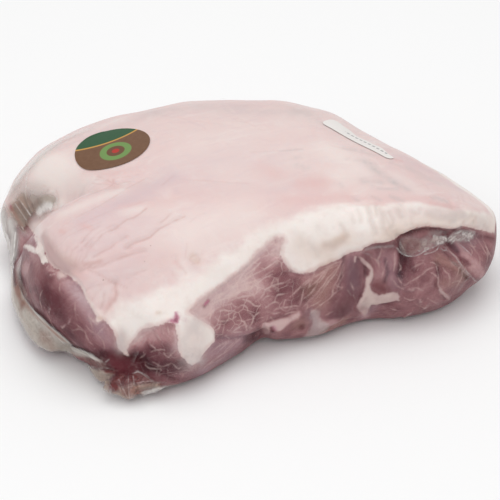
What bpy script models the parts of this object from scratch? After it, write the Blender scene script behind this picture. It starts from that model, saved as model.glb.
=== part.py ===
"""A raw skin-on pork shoulder, shrink-wrapped in a clear bag, with two labels on the bag.

The bag clings to the meat, so bag and contents are one solid whose surface is the film's outer side. Where the film
spans a hollow or stands off the meat, at the left end and at the gathered tail, the solid is filled out to the film.
The shoulder lies skin side up. +X runs along the long cut side towards the thin end, the cut side faces -Y, and the
origin is at the centre of the bottom.
"""

import math

import bmesh
import bpy
import numpy as np
from mathutils import Matrix, Vector
from mathutils.bvhtree import BVHTree

MM = 0.001

# The cube that is blown up into the shoulder has this many squares along each edge.
GRID = 28
# How far the corners of the plan are rounded off, as an angle seen from the middle.
PLAN_ROUNDING = math.radians(3.5)
MIDDLE = (0.0, 5.0)
CROWN = 102.0

# The plan at its widest, anticlockwise from the thin end, in mm. Each station gives x and y of the belly line, the
# height of the rounded lip where the skin turns over, how far the lip is set back, the belly's height, and how far
# the foot is set back where the side meets the table.
STATIONS = {
    "thin end": (186, -98, 74, 17, 42, 26),
    "front right corner": (161, -128, 80, 16, 34, 9),
    "front, under the lip": (108, -131, 86, 24, 32, 7),
    "front, blade muscle": (52, -120, 90, 28, 30, 8),
    "front, middle": (0, -113, 89, 30, 30, 6),
    "front, neck muscle": (-50, -117, 82, 26, 26, 6),
    "front, left part": (-96, -132, 68, 28, 20, 5),
    "tail corner": (-128, -124, 57, 24, 14, 5),
    "left, round muscle": (-150, -86, 72, 12, 36, 10),
    "left, film flap": (-171, -50, 78, 18, 14, 3),
    "left, flap end": (-175, 2, 80, 24, 13, 4),
    "left, film over the notch": (-164, 50, 62, 22, 24, 6),
    "hock tip": (-159, 86, 63, 22, 36, 10),
    "hock side": (-142, 118, 70, 20, 36, 14),
    "back left corner": (-114, 142, 75, 20, 38, 16),
    "back, film rim": (-64, 157, 81, 24, 40, 16),
    "back, middle": (-6, 150, 82, 26, 42, 16),
    "back right corner": (60, 142, 87, 32, 44, 16),
    "slant, upper": (115, 111, 92, 38, 44, 16),
    "slant, middle": (147, 55, 89, 38, 44, 16),
    "slant, lower": (171, -1, 81, 32, 44, 18),
    "slant, thin part": (189, -50, 80, 24, 44, 22),
}

# Swellings of the surface: centre, reach along x, y and z, and height, all in mm.
SWELLINGS = {
    "front left skin lobe": ((-122, -22, 80), (40, 46, 40), 9),
    "hock under the skin": ((-118, 82, 74), (34, 34, 40), 9),
    "round muscle at the left": ((-152, -52, 52), (26, 40, 26), 8),
    "blade ridge under the skin": ((30, 20, 100), (90, 60, 40), 4),
    "neck muscle": ((-72, -126, 28), (34, 26, 24), 5),
    "fan muscle": ((20, -118, 44), (44, 26, 26), 4),
    "round end muscle": ((128, -128, 40), (30, 24, 22), 7),
    "thin end muscle": ((172, -110, 40), (24, 28, 20), 5),
    "knuckle of the rib": ((24, -124, 9), (20, 18, 10), 6),
    "fat lip at the right": ((120, -112, 78), (60, 22, 11), 5),
}

# Creases and hollows: the line that each follows, its half width and depth, all in mm.
CREASES = {
    "notch beside the hock": (((-184, 54, 20), (-164, 50, 48), (-144, 46, 68), (-126, 30, 84)), 17, 15),
    "mouth of the notch": (((-160, 56, 48), (-146, 52, 64), (-132, 44, 76)), 22, 7),
    "crease across the skin": (((-130, 30, 82), (-113, 16, 92), (-92, 7, 98), (-61, 2, 102)), 9, 4),
    "under the fat lip": (((64, -122, 64), (96, -128, 66), (130, -128, 66), (166, -118, 58)), 8, 9),
    "between blade and end muscle": (((62, -124, 60), (72, -130, 34), (64, -128, 8)), 7, 5),
    "between end muscles": (((150, -128, 58), (142, -132, 32), (134, -130, 12)), 6, 4),
    "between neck and fan muscle": (((-44, -120, 60), (-52, -124, 34), (-58, -124, 10)), 7, 4),
    "between round and neck muscle": (((-112, -112, 50), (-122, -124, 30), (-128, -126, 8)), 9, 8),
    "along the foot of the round muscle": (((-170, -10, 36), (-164, -48, 26), (-150, -84, 18), (-132, -112, 12)), 8, 7),
    "muscle from skin lobe": (((-158, 4, 72), (-156, -34, 78), (-146, -70, 74), (-128, -100, 60)), 5, 3),
}

# The film's gathered tail at the front left corner: where it leaves the bag, where it ends, its radii and the height
# that it keeps above the table, in mm, and how deep its pleats are against its radius.
TAIL_ROOT = (-108, -98, 17)
TAIL_END = (-125, -127, 8)
TAIL_NECK = 13.0
TAIL_MOUTH = 18.0
TAIL_PLEATS = 7
TAIL_ROWS = 6
TAIL_FLATNESS = 0.4
TAIL_FOLD = 0.09
TAIL_CLEARANCE = 0.4

# The labels lie on the bag, a hair of glue above it, in mm. Each has a centre and a point that its long side runs
# towards, both seen from above, and a length and width.
ROUND_LABEL = ((-71, 58), (-42, 49), 60, 57)
PAPER_LABEL = ((110, -8), (134, -64), 68, 15)
LABEL_THICKNESS = 0.5
LABEL_GAP = 0.6
LABEL_SQUARES = 16
PAPER_CORNER = 5.0

MATERIALS = {
    "bagged_pork": ((0.80, 0.56, 0.54), 0.28),
    "printed_label": ((0.16, 0.27, 0.12), 0.35),
    "white_paper": ((0.86, 0.85, 0.82), 0.6),
}


def clear_scene():
    for thing in list(bpy.data.objects):
        bpy.data.objects.remove(thing)


def material(name):
    colour, roughness = MATERIALS[name]
    made = bpy.data.materials.new(name)
    made.use_nodes = True
    shader = made.node_tree.nodes["Principled BSDF"]
    shader.inputs["Base Color"].default_value = (*colour, 1.0)
    shader.inputs["Roughness"].default_value = roughness
    shader.inputs["Metallic"].default_value = 0.0
    return made


def add_object(name, shape, finish):
    """Makes an object of a bmesh, shaded smooth with its own material."""
    mesh = bpy.data.meshes.new(name)
    bmesh.ops.recalc_face_normals(shape, faces=shape.faces)
    shape.to_mesh(mesh)
    shape.free()
    mesh.shade_smooth()
    mesh.materials.append(material(finish))
    thing = bpy.data.objects.new(name, mesh)
    bpy.context.scene.collection.objects.link(thing)
    return thing


def around(column, bearings):
    """One column of the stations, read at these bearings and rounded off as PLAN_ROUNDING says."""
    rows = np.array(list(STATIONS.values()), float)
    x, y = rows[:, 0] - MIDDLE[0], rows[:, 1] - MIDDLE[1]
    values = np.hypot(x, y) if column == 0 else rows[:, column]
    fine = np.linspace(-math.pi, math.pi, 1440, endpoint=False)
    read = np.interp(fine, np.arctan2(y, x), values, period=2 * math.pi)
    lag = np.minimum(fine + math.pi, math.pi - fine)
    blur = np.exp(-0.5 * (lag / PLAN_ROUNDING) ** 2)
    smooth = np.fft.irfft(np.fft.rfft(read) * np.fft.rfft(blur / blur.sum()), len(fine))
    return np.interp(bearings, fine, smooth, period=2 * math.pi)


def section(bearings):
    """Corners (distance out, height) of the upright section at each bearing, from the crown to the middle of the base."""
    out = around(0, bearings)
    lip_height, lip_inset, belly_height, foot_inset = (around(c, bearings) for c in (2, 3, 4, 5))
    lip = out - lip_inset
    foot = out - foot_inset
    rise = CROWN - lip_height
    level = np.zeros_like(out)
    corners = (
        # Over the top, nearly level and then falling towards the lip.
        (level, level + CROWN),
        (0.30 * lip, level + CROWN),
        (0.66 * lip, lip_height + 0.74 * rise),
        (lip - 26, lip_height + 0.22 * rise + 5),
        # Round the lip and down to the belly.
        (lip - 6, lip_height + 1),
        (lip + 0.45 * lip_inset, lip_height - 0.32 * (lip_height - belly_height)),
        (out + 1, belly_height + 6),
        (out + 1, belly_height - 8),
        # Tucked in under the belly, and flat along the table to the middle of the base.
        (foot + 2, level + 7),
        (foot - 6, level),
        (foot - 30, level),
        (0.4 * foot, level),
        (level, level),
    )
    return np.array(corners).transpose(2, 0, 1)


def along_section(corners, shares):
    """The point at each share of its section's length, on the quadratic B-spline of the section's corners."""
    ends = (corners[:, 1:] + corners[:, :-1]) / 2
    starts = np.concatenate([corners[:, :1], ends[:, 1:-1], corners[:, -1:]], axis=1)
    steps = np.linspace(0, 1, 10)[:, None]
    curve = []
    for i in range(1, corners.shape[1] - 1):
        a, b, c = starts[:, i - 1, None], corners[:, i, None], starts[:, i, None]
        curve.append((1 - steps) ** 2 * a + 2 * steps * (1 - steps) * b + steps**2 * c)
    curve = np.concatenate(curve, axis=1)
    run = np.linalg.norm(np.diff(curve, axis=1), axis=2).cumsum(axis=1)
    run = np.concatenate([np.zeros((len(run), 1)), run], axis=1)
    found = np.empty((len(shares), 2))
    for i, share in enumerate(shares):
        for k in range(2):
            found[i, k] = np.interp(share * run[i, -1], run[i], curve[i, :, k])
    return found


def blown_up_cube():
    """An evenly squared cube whose points are moved onto the shoulder's smooth form."""
    shape = bmesh.new()
    bmesh.ops.create_cube(shape, size=2.0)
    bmesh.ops.subdivide_edges(shape, edges=shape.edges, cuts=GRID - 1, use_grid_fill=True)
    rays = np.array([v.co for v in shape.verts])
    rays = np.tan(rays * math.pi / 4)
    rays /= np.linalg.norm(rays, axis=1)[:, None]
    bearings = np.arctan2(rays[:, 1], rays[:, 0])
    shares = np.arccos(np.clip(rays[:, 2], -1, 1)) / math.pi
    places = along_section(section(bearings), shares)
    for vertex, bearing, (out, height) in zip(shape.verts, bearings, places):
        vertex.co = (MIDDLE[0] + out * math.cos(bearing), MIDDLE[1] + out * math.sin(bearing), height)
    bmesh.ops.recalc_face_normals(shape, faces=shape.faces)
    shape.normal_update()
    return shape


def distance_to_line(points, line):
    """How far each point is from an open line of straight runs."""
    nearest = np.full(len(points), np.inf)
    for a, b in zip(np.array(line[:-1], float), np.array(line[1:], float)):
        run = b - a
        share = np.clip((points - a) @ run / (run @ run), 0, 1)
        nearest = np.minimum(nearest, np.linalg.norm(points - a - share[:, None] * run, axis=1))
    return nearest


def add_relief(shape):
    """Swells and creases the surface along its normals, and keeps the foot flat on the table."""
    points = np.array([v.co for v in shape.verts])
    normals = np.array([v.normal for v in shape.verts])
    push = np.zeros(len(points))
    for centre, reach, height in SWELLINGS.values():
        push += height * np.exp(-(((points - centre) / reach) ** 2).sum(axis=1))
    for line, half_width, depth in CREASES.values():
        push -= depth * np.exp(-((distance_to_line(points, line) / half_width) ** 2))
    on_table = points[:, 2] < 0.5
    push[on_table] = 0
    moved = points + normals * push[:, None]
    moved[:, 2] = np.maximum(moved[:, 2], 0)
    for vertex, place in zip(shape.verts, moved):
        vertex.co = place


def gathered_tail():
    """The film's bunched end: a flattened fan of pleats that spreads from a narrow neck."""
    root, end = Vector(TAIL_ROOT), Vector(TAIL_END)
    run = end - root
    sides = 6 * TAIL_PLEATS
    shape = bmesh.new()
    rings = []
    for row in range(TAIL_ROWS):
        share = row / (TAIL_ROWS - 1)
        radius = TAIL_NECK + (TAIL_MOUTH - TAIL_NECK) * share**1.5
        fold = TAIL_FOLD * (1 + share)
        ring = []
        for k in range(sides):
            angle = 2 * math.pi * k / sides
            swing = radius * (1 + fold * math.cos(TAIL_PLEATS * angle))
            ring.append((swing * math.cos(angle), swing * math.sin(angle) * TAIL_FLATNESS, share * run.length))
        rings.append([shape.verts.new(p) for p in ring])
    for lower, upper in zip(rings, rings[1:]):
        for k in range(sides):
            m = (k + 1) % sides
            shape.faces.new((lower[k], lower[m], upper[m], upper[k]))
    for ring in (rings[0], rings[-1]):
        middle = shape.verts.new(sum((v.co for v in ring), Vector()) / sides)
        for k in range(sides):
            shape.faces.new((ring[k], ring[(k + 1) % sides], middle))
    side = run.cross(Vector((0, 0, 1))).normalized()
    ahead = run.normalized()
    turn = Matrix((side, ahead.cross(side), ahead)).transposed().to_4x4()
    shape.transform(Matrix.Translation(root) @ turn)
    for vertex in shape.verts:
        vertex.co.z = max(vertex.co.z, TAIL_CLEARANCE)
    return add_object("tail_of_the_film", shape, "bagged_pork")


def bagged_shoulder():
    """The wrapped shoulder with the gathered tail joined on."""
    shape = blown_up_cube()
    add_relief(shape)
    body = add_object("bagged_shoulder", shape, "bagged_pork")
    surface = BVHTree.FromObject(body, bpy.context.evaluated_depsgraph_get())
    tail = gathered_tail()
    tail.hide_render = True
    tail.display_type = "WIRE"
    tail.parent = body
    join = body.modifiers.new("tail", "BOOLEAN")
    join.operation = "UNION"
    join.object = tail
    return body, surface


def label(name, finish, place, corner, surface):
    """A thin sheet on the bag: an even grid, squeezed into the label's outline and dropped along the bag's normal."""
    centre, towards, length, width = place
    above = Vector((*centre, 2 * CROWN))
    spot, _, _, _ = surface.ray_cast(above, Vector((0, 0, -1)))
    near = surface.find_nearest_range(spot, width / 3)
    facing = sum((normal for _, normal, _, _ in near), Vector()).normalized()
    along = Vector((*towards, 0)) - Vector((*centre, 0))
    along = (along - along.dot(facing) * facing).normalized()
    across = facing.cross(along)
    shape = bmesh.new()
    sheets = []
    for lift in (LABEL_GAP, LABEL_GAP + LABEL_THICKNESS):
        grid = []
        for i in range(LABEL_SQUARES + 1):
            for j in range(LABEL_SQUARES + 1):
                x, y = (2 * k / LABEL_SQUARES - 1 for k in (i, j))
                u, v = label_outline(x, y, length, width, corner)
                start = spot + u * along + v * across + CROWN * facing
                hit, _, _, _ = surface.ray_cast(start, -facing)
                grid.append(shape.verts.new(hit + lift * facing))
        sheets.append(grid)
    close_sheets(shape, sheets)
    return add_object(name, shape, finish)


def label_outline(x, y, length, width, corner):
    """Moves a point of the square from -1 to 1 into a sheet with rounded corners, or into an oval if corner is None."""
    if corner is None:
        x, y = x * math.sqrt(1 - y * y / 2), y * math.sqrt(1 - x * x / 2)
        return x * length / 2, y * width / 2
    u, v = x * length / 2, y * width / 2
    over_u = abs(u) - (length / 2 - corner)
    over_v = abs(v) - (width / 2 - corner)
    if over_u > 0 and over_v > 0:
        shrink = max(over_u, over_v) / math.hypot(over_u, over_v)
        u -= math.copysign(over_u * (1 - shrink), u)
        v -= math.copysign(over_v * (1 - shrink), v)
    return u, v


def close_sheets(shape, sheets):
    """Faces over the two sheets and round their rim."""
    n = LABEL_SQUARES + 1
    for grid in sheets:
        for i in range(LABEL_SQUARES):
            for j in range(LABEL_SQUARES):
                a = i * n + j
                shape.faces.new((grid[a], grid[a + n], grid[a + n + 1], grid[a + 1]))
    rim = [i * n for i in range(n)]
    rim += [(n - 1) * n + j for j in range(1, n)]
    rim += [i * n + n - 1 for i in range(n - 2, -1, -1)]
    rim += [j for j in range(n - 2, 0, -1)]
    lower, upper = sheets
    for a, b in zip(rim, rim[1:] + rim[:1]):
        shape.faces.new((lower[a], lower[b], upper[b], upper[a]))


def stand_on_origin(things, body):
    """Puts the middle of the body's base at the origin and turns millimetres into metres."""
    seen = body.evaluated_get(bpy.context.evaluated_depsgraph_get())
    corners = np.array(seen.bound_box)
    middle = (corners.min(axis=0) + corners.max(axis=0)) / 2
    place = Matrix.Scale(MM, 4) @ Matrix.Translation((-middle[0], -middle[1], 0))
    for thing in things:
        thing.data.transform(place)


def main():
    clear_scene()
    body, surface = bagged_shoulder()
    round_label = label("round_label", "printed_label", ROUND_LABEL, None, surface)
    paper_label = label("paper_label", "white_paper", PAPER_LABEL, PAPER_CORNER, surface)
    tail = bpy.data.objects["tail_of_the_film"]
    stand_on_origin((body, tail, round_label, paper_label), body)


main()
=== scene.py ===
# %% [markdown]
# # A skin-on pork shoulder in its clear bag
# The object is a raw pork shoulder that lies skin up in a shrunk clear bag. On the bag sit a
# round printed badge and a white paper strip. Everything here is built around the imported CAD
# model, which is loaded first and never changed, so sizes and places come from it.

# %% The frame
import math

import bpy
import numpy as np
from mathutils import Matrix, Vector
from mathutils.bvhtree import BVHTree


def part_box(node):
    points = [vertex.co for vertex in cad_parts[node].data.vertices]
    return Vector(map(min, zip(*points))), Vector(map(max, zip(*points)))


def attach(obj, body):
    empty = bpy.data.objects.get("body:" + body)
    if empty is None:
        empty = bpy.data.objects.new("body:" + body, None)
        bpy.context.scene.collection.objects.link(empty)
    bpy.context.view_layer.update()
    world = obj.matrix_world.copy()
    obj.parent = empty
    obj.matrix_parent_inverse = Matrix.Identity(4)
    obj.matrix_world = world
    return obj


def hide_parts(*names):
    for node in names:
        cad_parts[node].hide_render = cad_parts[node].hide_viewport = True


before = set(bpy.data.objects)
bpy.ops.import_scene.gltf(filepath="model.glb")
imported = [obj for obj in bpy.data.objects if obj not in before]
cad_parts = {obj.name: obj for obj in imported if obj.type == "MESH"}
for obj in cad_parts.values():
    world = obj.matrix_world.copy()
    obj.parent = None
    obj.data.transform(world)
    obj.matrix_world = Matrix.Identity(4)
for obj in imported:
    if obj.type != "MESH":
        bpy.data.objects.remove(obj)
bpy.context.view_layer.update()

MM = 0.001
BODY = "root"
print("frame", sorted(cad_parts))

# %% [markdown]
# The camera comes first, because the photograph is also the map of the meat: which muscle,
# seam or fold lies where. It looks from the front left and from above. Blender's lens is given
# in millimetres for a 36 mm wide sensor, so the lens follows from the scale of the picture.

# %% The camera
PICTURE = 500
BEARING = math.radians(-24)
HEIGHT_ANGLE = math.radians(35)
DISTANCE = 1.20
SCALE = 1578.9
SENSOR = 36.0
FAR_CLIP = 20.0
TARGET = np.array((-0.006903, -0.054856, 0.045))
BACK = np.array((math.sin(BEARING) * math.cos(HEIGHT_ANGLE),
                 -math.cos(BEARING) * math.cos(HEIGHT_ANGLE),
                 math.sin(HEIGHT_ANGLE)))
RIGHT = np.array((math.cos(BEARING), math.sin(BEARING), 0.0))
UP = np.cross(BACK, RIGHT)
EYE = TARGET + BACK * DISTANCE

bpy.ops.object.select_all(action="DESELECT")
bpy.ops.object.camera_add(location=EYE.tolist())
camera = bpy.context.object
camera.name = "camera"
camera.rotation_euler = Vector(BACK.tolist()).to_track_quat("Z", "Y").to_euler()
camera.data.sensor_width = SENSOR
camera.data.lens = SCALE * SENSOR / PICTURE
camera.data.clip_end = FAR_CLIP
bpy.context.scene.camera = camera
print("camera at", EYE.round(3), "lens", round(camera.data.lens, 1))

# %% [markdown]
# Small helpers for the mesh work. One object at a time is selected, since every operator acts
# on all that is selected. Vertex places travel to numpy and back, which is quick enough to
# shape a mesh of a hundred thousand vertices the way a sculptor's brush does.


# %% Mesh helpers
def only(thing):
    """Select one object and make it the active one."""
    bpy.ops.object.select_all(action="DESELECT")
    thing.select_set(True)
    bpy.context.view_layer.objects.active = thing


def apply_modifier(thing, kind, **settings):
    """Add a modifier with these settings and apply it."""
    only(thing)
    modifier = thing.modifiers.new(kind.lower(), kind)
    for name, value in settings.items():
        setattr(modifier, name, value)
    bpy.ops.object.modifier_apply(modifier=modifier.name)


def places(thing):
    """The vertex places as an array of rows x, y, z."""
    flat = np.empty(len(thing.data.vertices) * 3, np.float32)
    thing.data.vertices.foreach_get("co", flat)
    return flat.reshape(-1, 3).astype(float)


def put_places(thing, rows):
    """Write the vertex places back."""
    thing.data.vertices.foreach_set("co", rows.astype(np.float32).ravel())
    thing.data.update()


def outward(thing):
    """The vertex normals."""
    flat = np.empty(len(thing.data.vertices) * 3, np.float32)
    thing.data.vertex_normals.foreach_get("vector", flat)
    return flat.reshape(-1, 3).astype(float)


def edges_of(thing):
    """The two ends of every edge."""
    flat = np.empty(len(thing.data.edges) * 2, np.int32)
    thing.data.edges.foreach_get("vertices", flat)
    return flat.reshape(-1, 2)


def relaxed(values, edges, rounds):
    """Each value moves to the mean of its neighbours, this many times."""
    count = np.bincount(edges.ravel(), minlength=len(values)).astype(float)
    values = values.astype(float)
    columns = values.reshape(len(values), -1)
    for _ in range(rounds):
        total = np.zeros_like(columns)
        for c in range(columns.shape[1]):
            total[:, c] = np.bincount(edges[:, 0], columns[edges[:, 1], c], len(values))
            total[:, c] += np.bincount(edges[:, 1], columns[edges[:, 0], c], len(values))
        columns = total / count[:, None]
    return columns.reshape(values.shape)


def tree_of(thing):
    """A search tree for rays."""
    return BVHTree.FromObject(thing, bpy.context.evaluated_depsgraph_get())


def store(thing, name, values):
    """Keep one number for each vertex as an attribute that a material can read."""
    layer = thing.data.attributes.new(name, "FLOAT", "POINT")
    layer.data.foreach_set("value", np.asarray(values, np.float32))


def store_vector(thing, name, rows):
    """Keep one vector for each vertex."""
    layer = thing.data.attributes.new(name, "FLOAT_VECTOR", "POINT")
    layer.data.foreach_set("vector", np.asarray(rows, np.float32).ravel())


def smoothstep(low, high, values):
    """0 below low, 1 above high, and a soft ramp between them."""
    t = np.clip((values - low) / (high - low), 0.0, 1.0)
    return t * t * (3 - 2 * t)


# %% [markdown]
# The bag and the meat start from the same form: a copy of the CAD solid. The copy's loose
# triangles are merged first. Two rounds of subdivision round the facets off, and a voxel
# remesh gives an even skin of small squares that can be shaped anywhere.

# %% The form they share
SQUARE = 3.55 * MM
FILM_SQUARE = 2.5 * MM
MERGE = 0.01 * MM
ROUNDING = 2


def copy_of_node(node, name):
    """A merged copy of a CAD node, which leaves the node alone."""
    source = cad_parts[node]
    twin = source.copy()
    twin.data = source.data.copy()
    twin.parent = None
    twin.name = name
    twin.data.name = name
    for key in list(twin.keys()):
        del twin[key]
    twin.data.materials.clear()
    bpy.context.scene.collection.objects.link(twin)
    only(twin)
    bpy.ops.object.mode_set(mode="EDIT")
    bpy.ops.mesh.select_all(action="SELECT")
    bpy.ops.mesh.remove_doubles(threshold=MERGE)
    bpy.ops.object.mode_set(mode="OBJECT")
    return twin


def even_copy(name, square):
    """The form of the full bag in even squares."""
    thing = copy_of_node("bagged_shoulder", name)
    apply_modifier(thing, "SUBSURF", levels=ROUNDING, render_levels=ROUNDING)
    apply_modifier(thing, "REMESH", mode="VOXEL", voxel_size=square, use_smooth_shade=True)
    return thing


def finer(thing, wanted):
    """Halve the squares where wanted(places of the face centres) says so."""
    only(thing)
    centres = np.empty(len(thing.data.polygons) * 3, np.float32)
    thing.data.polygons.foreach_get("center", centres)
    chosen = wanted(centres.reshape(-1, 3).astype(float))
    bpy.ops.object.mode_set(mode="EDIT")
    bpy.ops.mesh.select_mode(type="FACE")
    bpy.ops.mesh.select_all(action="DESELECT")
    bpy.ops.object.mode_set(mode="OBJECT")
    thing.data.polygons.foreach_set("select", chosen)
    bpy.ops.object.mode_set(mode="EDIT")
    bpy.ops.mesh.subdivide(number_cuts=1)
    bpy.ops.mesh.select_all(action="DESELECT")
    bpy.ops.mesh.select_face_by_sides(number=4, type="GREATER")
    bpy.ops.mesh.quads_convert_to_tris(quad_method="BEAUTY", ngon_method="BEAUTY")
    bpy.ops.object.mode_set(mode="OBJECT")
    put_places(thing, relaxed(places(thing), edges_of(thing), 1))


meat = even_copy("bagged_meat", SQUARE)
bag = even_copy("clear_bag", FILM_SQUARE)
print("form", len(meat.data.polygons), "squares")

# %% [markdown]
# A point of the picture becomes a point of the object where a ray from the camera first meets
# the form. Lines drawn this way lie on the surface in three dimensions, so they hold together
# from every side. What the camera can't see is given by its bearing round the object and its
# height above the table.

# %% From the picture to the surface
HEART = np.array((0.0, -0.010, 0.045))
HAND_SEED = 3
CORNERS_ONLY = 1000.0
BRUSH_REACH = 4
PATH_REACH = 0.01
BELOW_ALL = -2.0
hand = np.random.default_rng(HAND_SEED)


def numbers(text):
    """'10,20 30,40' as rows of numbers."""
    return np.array([[float(n) for n in pair.split(",")] for pair in text.split()])


def sight(x, y):
    """The direction from the camera through a point of the picture."""
    ray = RIGHT * (x - PICTURE / 2) / SCALE - UP * (y - PICTURE / 2) / SCALE - BACK
    return Vector((ray / np.linalg.norm(ray)).tolist())


def touch(tree, x, y):
    """Where that ray meets the form, or None."""
    return tree.ray_cast(Vector(EYE.tolist()), sight(x, y))[0]


def rounded(corners):
    """The same line with its corners cut twice, a quarter off each side, so that it bends."""
    for _ in range(2):
        if len(corners) > 2:
            near = corners[:-1] * 0.75 + corners[1:] * 0.25
            far = corners[:-1] * 0.25 + corners[1:] * 0.75
            middle = np.stack((near, far), axis=1).reshape(-1, 2)
            corners = np.vstack((corners[:1], middle[1:-1], corners[-1:]))
    return corners


def draw(tree, text, step=3.0, shake=0.0):
    """A line of picture points, laid on the form in steps, by an unsteady hand if it shakes."""
    corners = numbers(text)
    if shake:
        corners = rounded(corners + hand.normal(0.0, 1.0, corners.shape) * shake)
    rows = []
    for a, b in zip(corners[:-1], corners[1:]):
        pieces = max(1, int(np.linalg.norm(b - a) / step))
        rows += [a + (b - a) * k / pieces for k in range(pieces)]
    rows.append(corners[-1])
    hits = [touch(tree, x, y) for x, y in rows]
    return np.array([tuple(hit) for hit in hits if hit is not None]).reshape(-1, 3)


def round_the_side(tree, text):
    """Points at 'bearing,height' pairs: degrees from the front towards the right, and mm."""
    rows = []
    for bearing, height in numbers(text):
        turn = math.radians(bearing)
        start = Vector((float(HEART[0]), float(HEART[1]), height * MM))
        hit = tree.ray_cast(start, Vector((math.sin(turn), -math.cos(turn), 0.0)))[0]
        rows.append(tuple(hit))
    return np.array(rows)


def distance(points, line, reach=0.04):
    """How far each point is from a line, up to a reach."""
    best = np.full(len(points), reach)
    if len(line) == 0:
        return best
    near = np.all((points > line.min(0) - reach) & (points < line.max(0) + reach), axis=1)
    local = points[near]
    found = np.full(len(local), reach)
    ends = line[1:] if len(line) > 1 else line
    for a, b in zip(line, ends):
        span = b - a
        share = np.clip((local - a) @ span / max(span @ span, 1e-12), 0, 1)
        found = np.minimum(found, np.linalg.norm(local - a - share[:, None] * span, axis=1))
    best[near] = found
    return best


def brush(points, tree, text, radius):
    """A soft brush mark along a line: 1 on the line, fading out with its radius in mm."""
    size = radius * MM
    return np.exp(-(distance(points, draw(tree, text), BRUSH_REACH * size) / size) ** 2)


def brushed(points, tree, strokes):
    """All the strokes of one kind, added up. A stroke is a line, a radius and a strength."""
    total = np.zeros(len(points))
    for text, radius, strength in strokes:
        total += strength * brush(points, tree, text, radius)
    return total


def near_lines(points, lines, reach):
    """Which points lie within a reach in mm of one of the lines."""
    near = np.zeros(len(points), bool)
    for line in lines:
        near |= distance(points, line, PATH_REACH) < reach * MM
    return near


def unrolled(points):
    """Bearing and rise of each point, seen from the heart of the form."""
    d = points - HEART
    return np.column_stack((np.arctan2(d[:, 0], -d[:, 1]),
                            np.arctan2(d[:, 2], np.hypot(d[:, 0], d[:, 1]))))


def within(flat, corners):
    """Which flat points lie inside a closed shape: an odd count of its sides lies above them."""
    found = np.zeros(len(flat), bool)
    for a, b in zip(corners, np.roll(corners, -1, axis=0)):
        crosses = (a[0] > flat[:, 0]) != (b[0] > flat[:, 0])
        if abs(b[0] - a[0]) > 1e-12:
            level = a[1] + (flat[:, 0] - a[0]) * (b[1] - a[1]) / (b[0] - a[0])
            found ^= crosses & (flat[:, 1] < level)
    return found


def above(points, line):
    """Which points lie above a line that runs right round the form."""
    ring = unrolled(line)
    ring[:, 0] = np.unwrap(ring[:, 0])
    ring = np.vstack((ring, [(ring[-1, 0], BELOW_ALL), (ring[0, 0], BELOW_ALL)]))
    below = np.zeros(len(points), bool)
    for turn in (-2 * math.pi, 0.0, 2 * math.pi):
        below ^= within(unrolled(points) + (turn, 0.0), ring)
    return ~below


def signed(points, line, reach=0.06):
    """Distance from a line right round the form in mm: more than 0 above it, less below."""
    return distance(points, line, reach) * np.where(above(points, line), 1, -1) / MM


def patch(points, tree, text, reach=0.012):
    """Distance from the border of a closed shape in mm: more than 0 inside it."""
    outline = draw(tree, f"{text} {text.split()[0]}", 2.0)
    share = distance(points, outline, reach) / MM
    return share * np.where(within(unrolled(points), unrolled(outline)), 1, -1)


# %% [markdown]
# The CAD solid keeps to simple curves, and the real outline wavers a little. A few soft pulls
# move both copies of the form to the outline in the picture, as with a sculptor's grab brush.
# Each pull has a place, a move and a radius in picture points. At the foot of the form the
# move is level, so that the base stays on the table.

# %% Soft pulls at the outline
PIXEL = 0.76
UPPER_PULLS = (
    ((178, 104), (0, -4.5), 24), ((255, 99), (0, 3), 28), ((335, 114), (2, -5), 22),
    ((430, 167), (-2.5, 4), 30), ((490, 212), (6, -2), 16), ((498, 250), (-2.5, 0), 16),
    ((11, 265), (-2.5, 0), 8), ((5, 240), (1.5, 0), 12), ((25, 165), (1, 1.5), 20),
    ((60, 137), (0.5, 1.5), 20), ((95, 121), (0, 1), 16), ((156, 106), (0, -1.5), 14),
    ((457, 182), (-1, 1.5), 14), ((4, 192), (2, 0.5), 10), ((492, 266), (-1.2, -0.5), 10),
)
FOOT_PULLS = (
    ((468, 291), (-1.5, -2), 16), ((370, 322), (0, -3), 24), ((262, 343), (0, -7.5), 9),
    ((292, 340), (0, 2.2), 18), ((222, 366), (0.5, 2.5), 20), ((104, 376), (-8, 3), 14),
    ((108, 383), (-6, 3), 12), ((128, 398), (0, 3), 8), ((152, 397), (0, -4), 8),
    ((252, 348), (-0.5, -2.5), 8), ((65, 354), (0, -6), 7), ((40, 347), (-1.5, 2.5), 9),
    ((20, 325), (-1, 1), 12), ((28, 338), (-2, 1.5), 8),
)


def seen_at(rows):
    """Where the camera sees these places, in picture points."""
    ahead = rows - EYE
    scale = SCALE / -(ahead @ BACK)
    return np.column_stack((PICTURE / 2 + (ahead @ RIGHT) * scale,
                            PICTURE / 2 - (ahead @ UP) * scale))


def pulled(rows):
    """The places after all pulls."""
    level = np.array((BACK[0], BACK[1], 0.0))
    level = level / np.hypot(BACK[0], BACK[1]) / math.sin(HEIGHT_ANGLE)
    for pulls, down_is in ((UPPER_PULLS, -UP), (FOOT_PULLS, level)):
        for spot, (across, down), radius in pulls:
            away = np.linalg.norm(seen_at(rows) - spot, axis=1) / radius
            move = (RIGHT * across + down_is * down) * PIXEL * MM
            rows = rows + np.exp(-away ** 2)[:, None] * move
    rows[:, 2] = np.maximum(rows[:, 2], 0)
    return rows


put_places(meat, pulled(places(meat)))
put_places(bag, pulled(places(bag)))
envelope = tree_of(bag)
print("pulls", len(UPPER_PULLS) + len(FOOT_PULLS))

# %% [markdown]
# The bag is drawn tight over the meat, but it stands off where it bridges a hollow: along
# the left side and the back rim, over the notch beside the hock, in the flap at the lower
# left, at the gathered tail and under the fat lip. Each place gets a depth in millimetres,
# and the meat is drawn in by that much.

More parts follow.
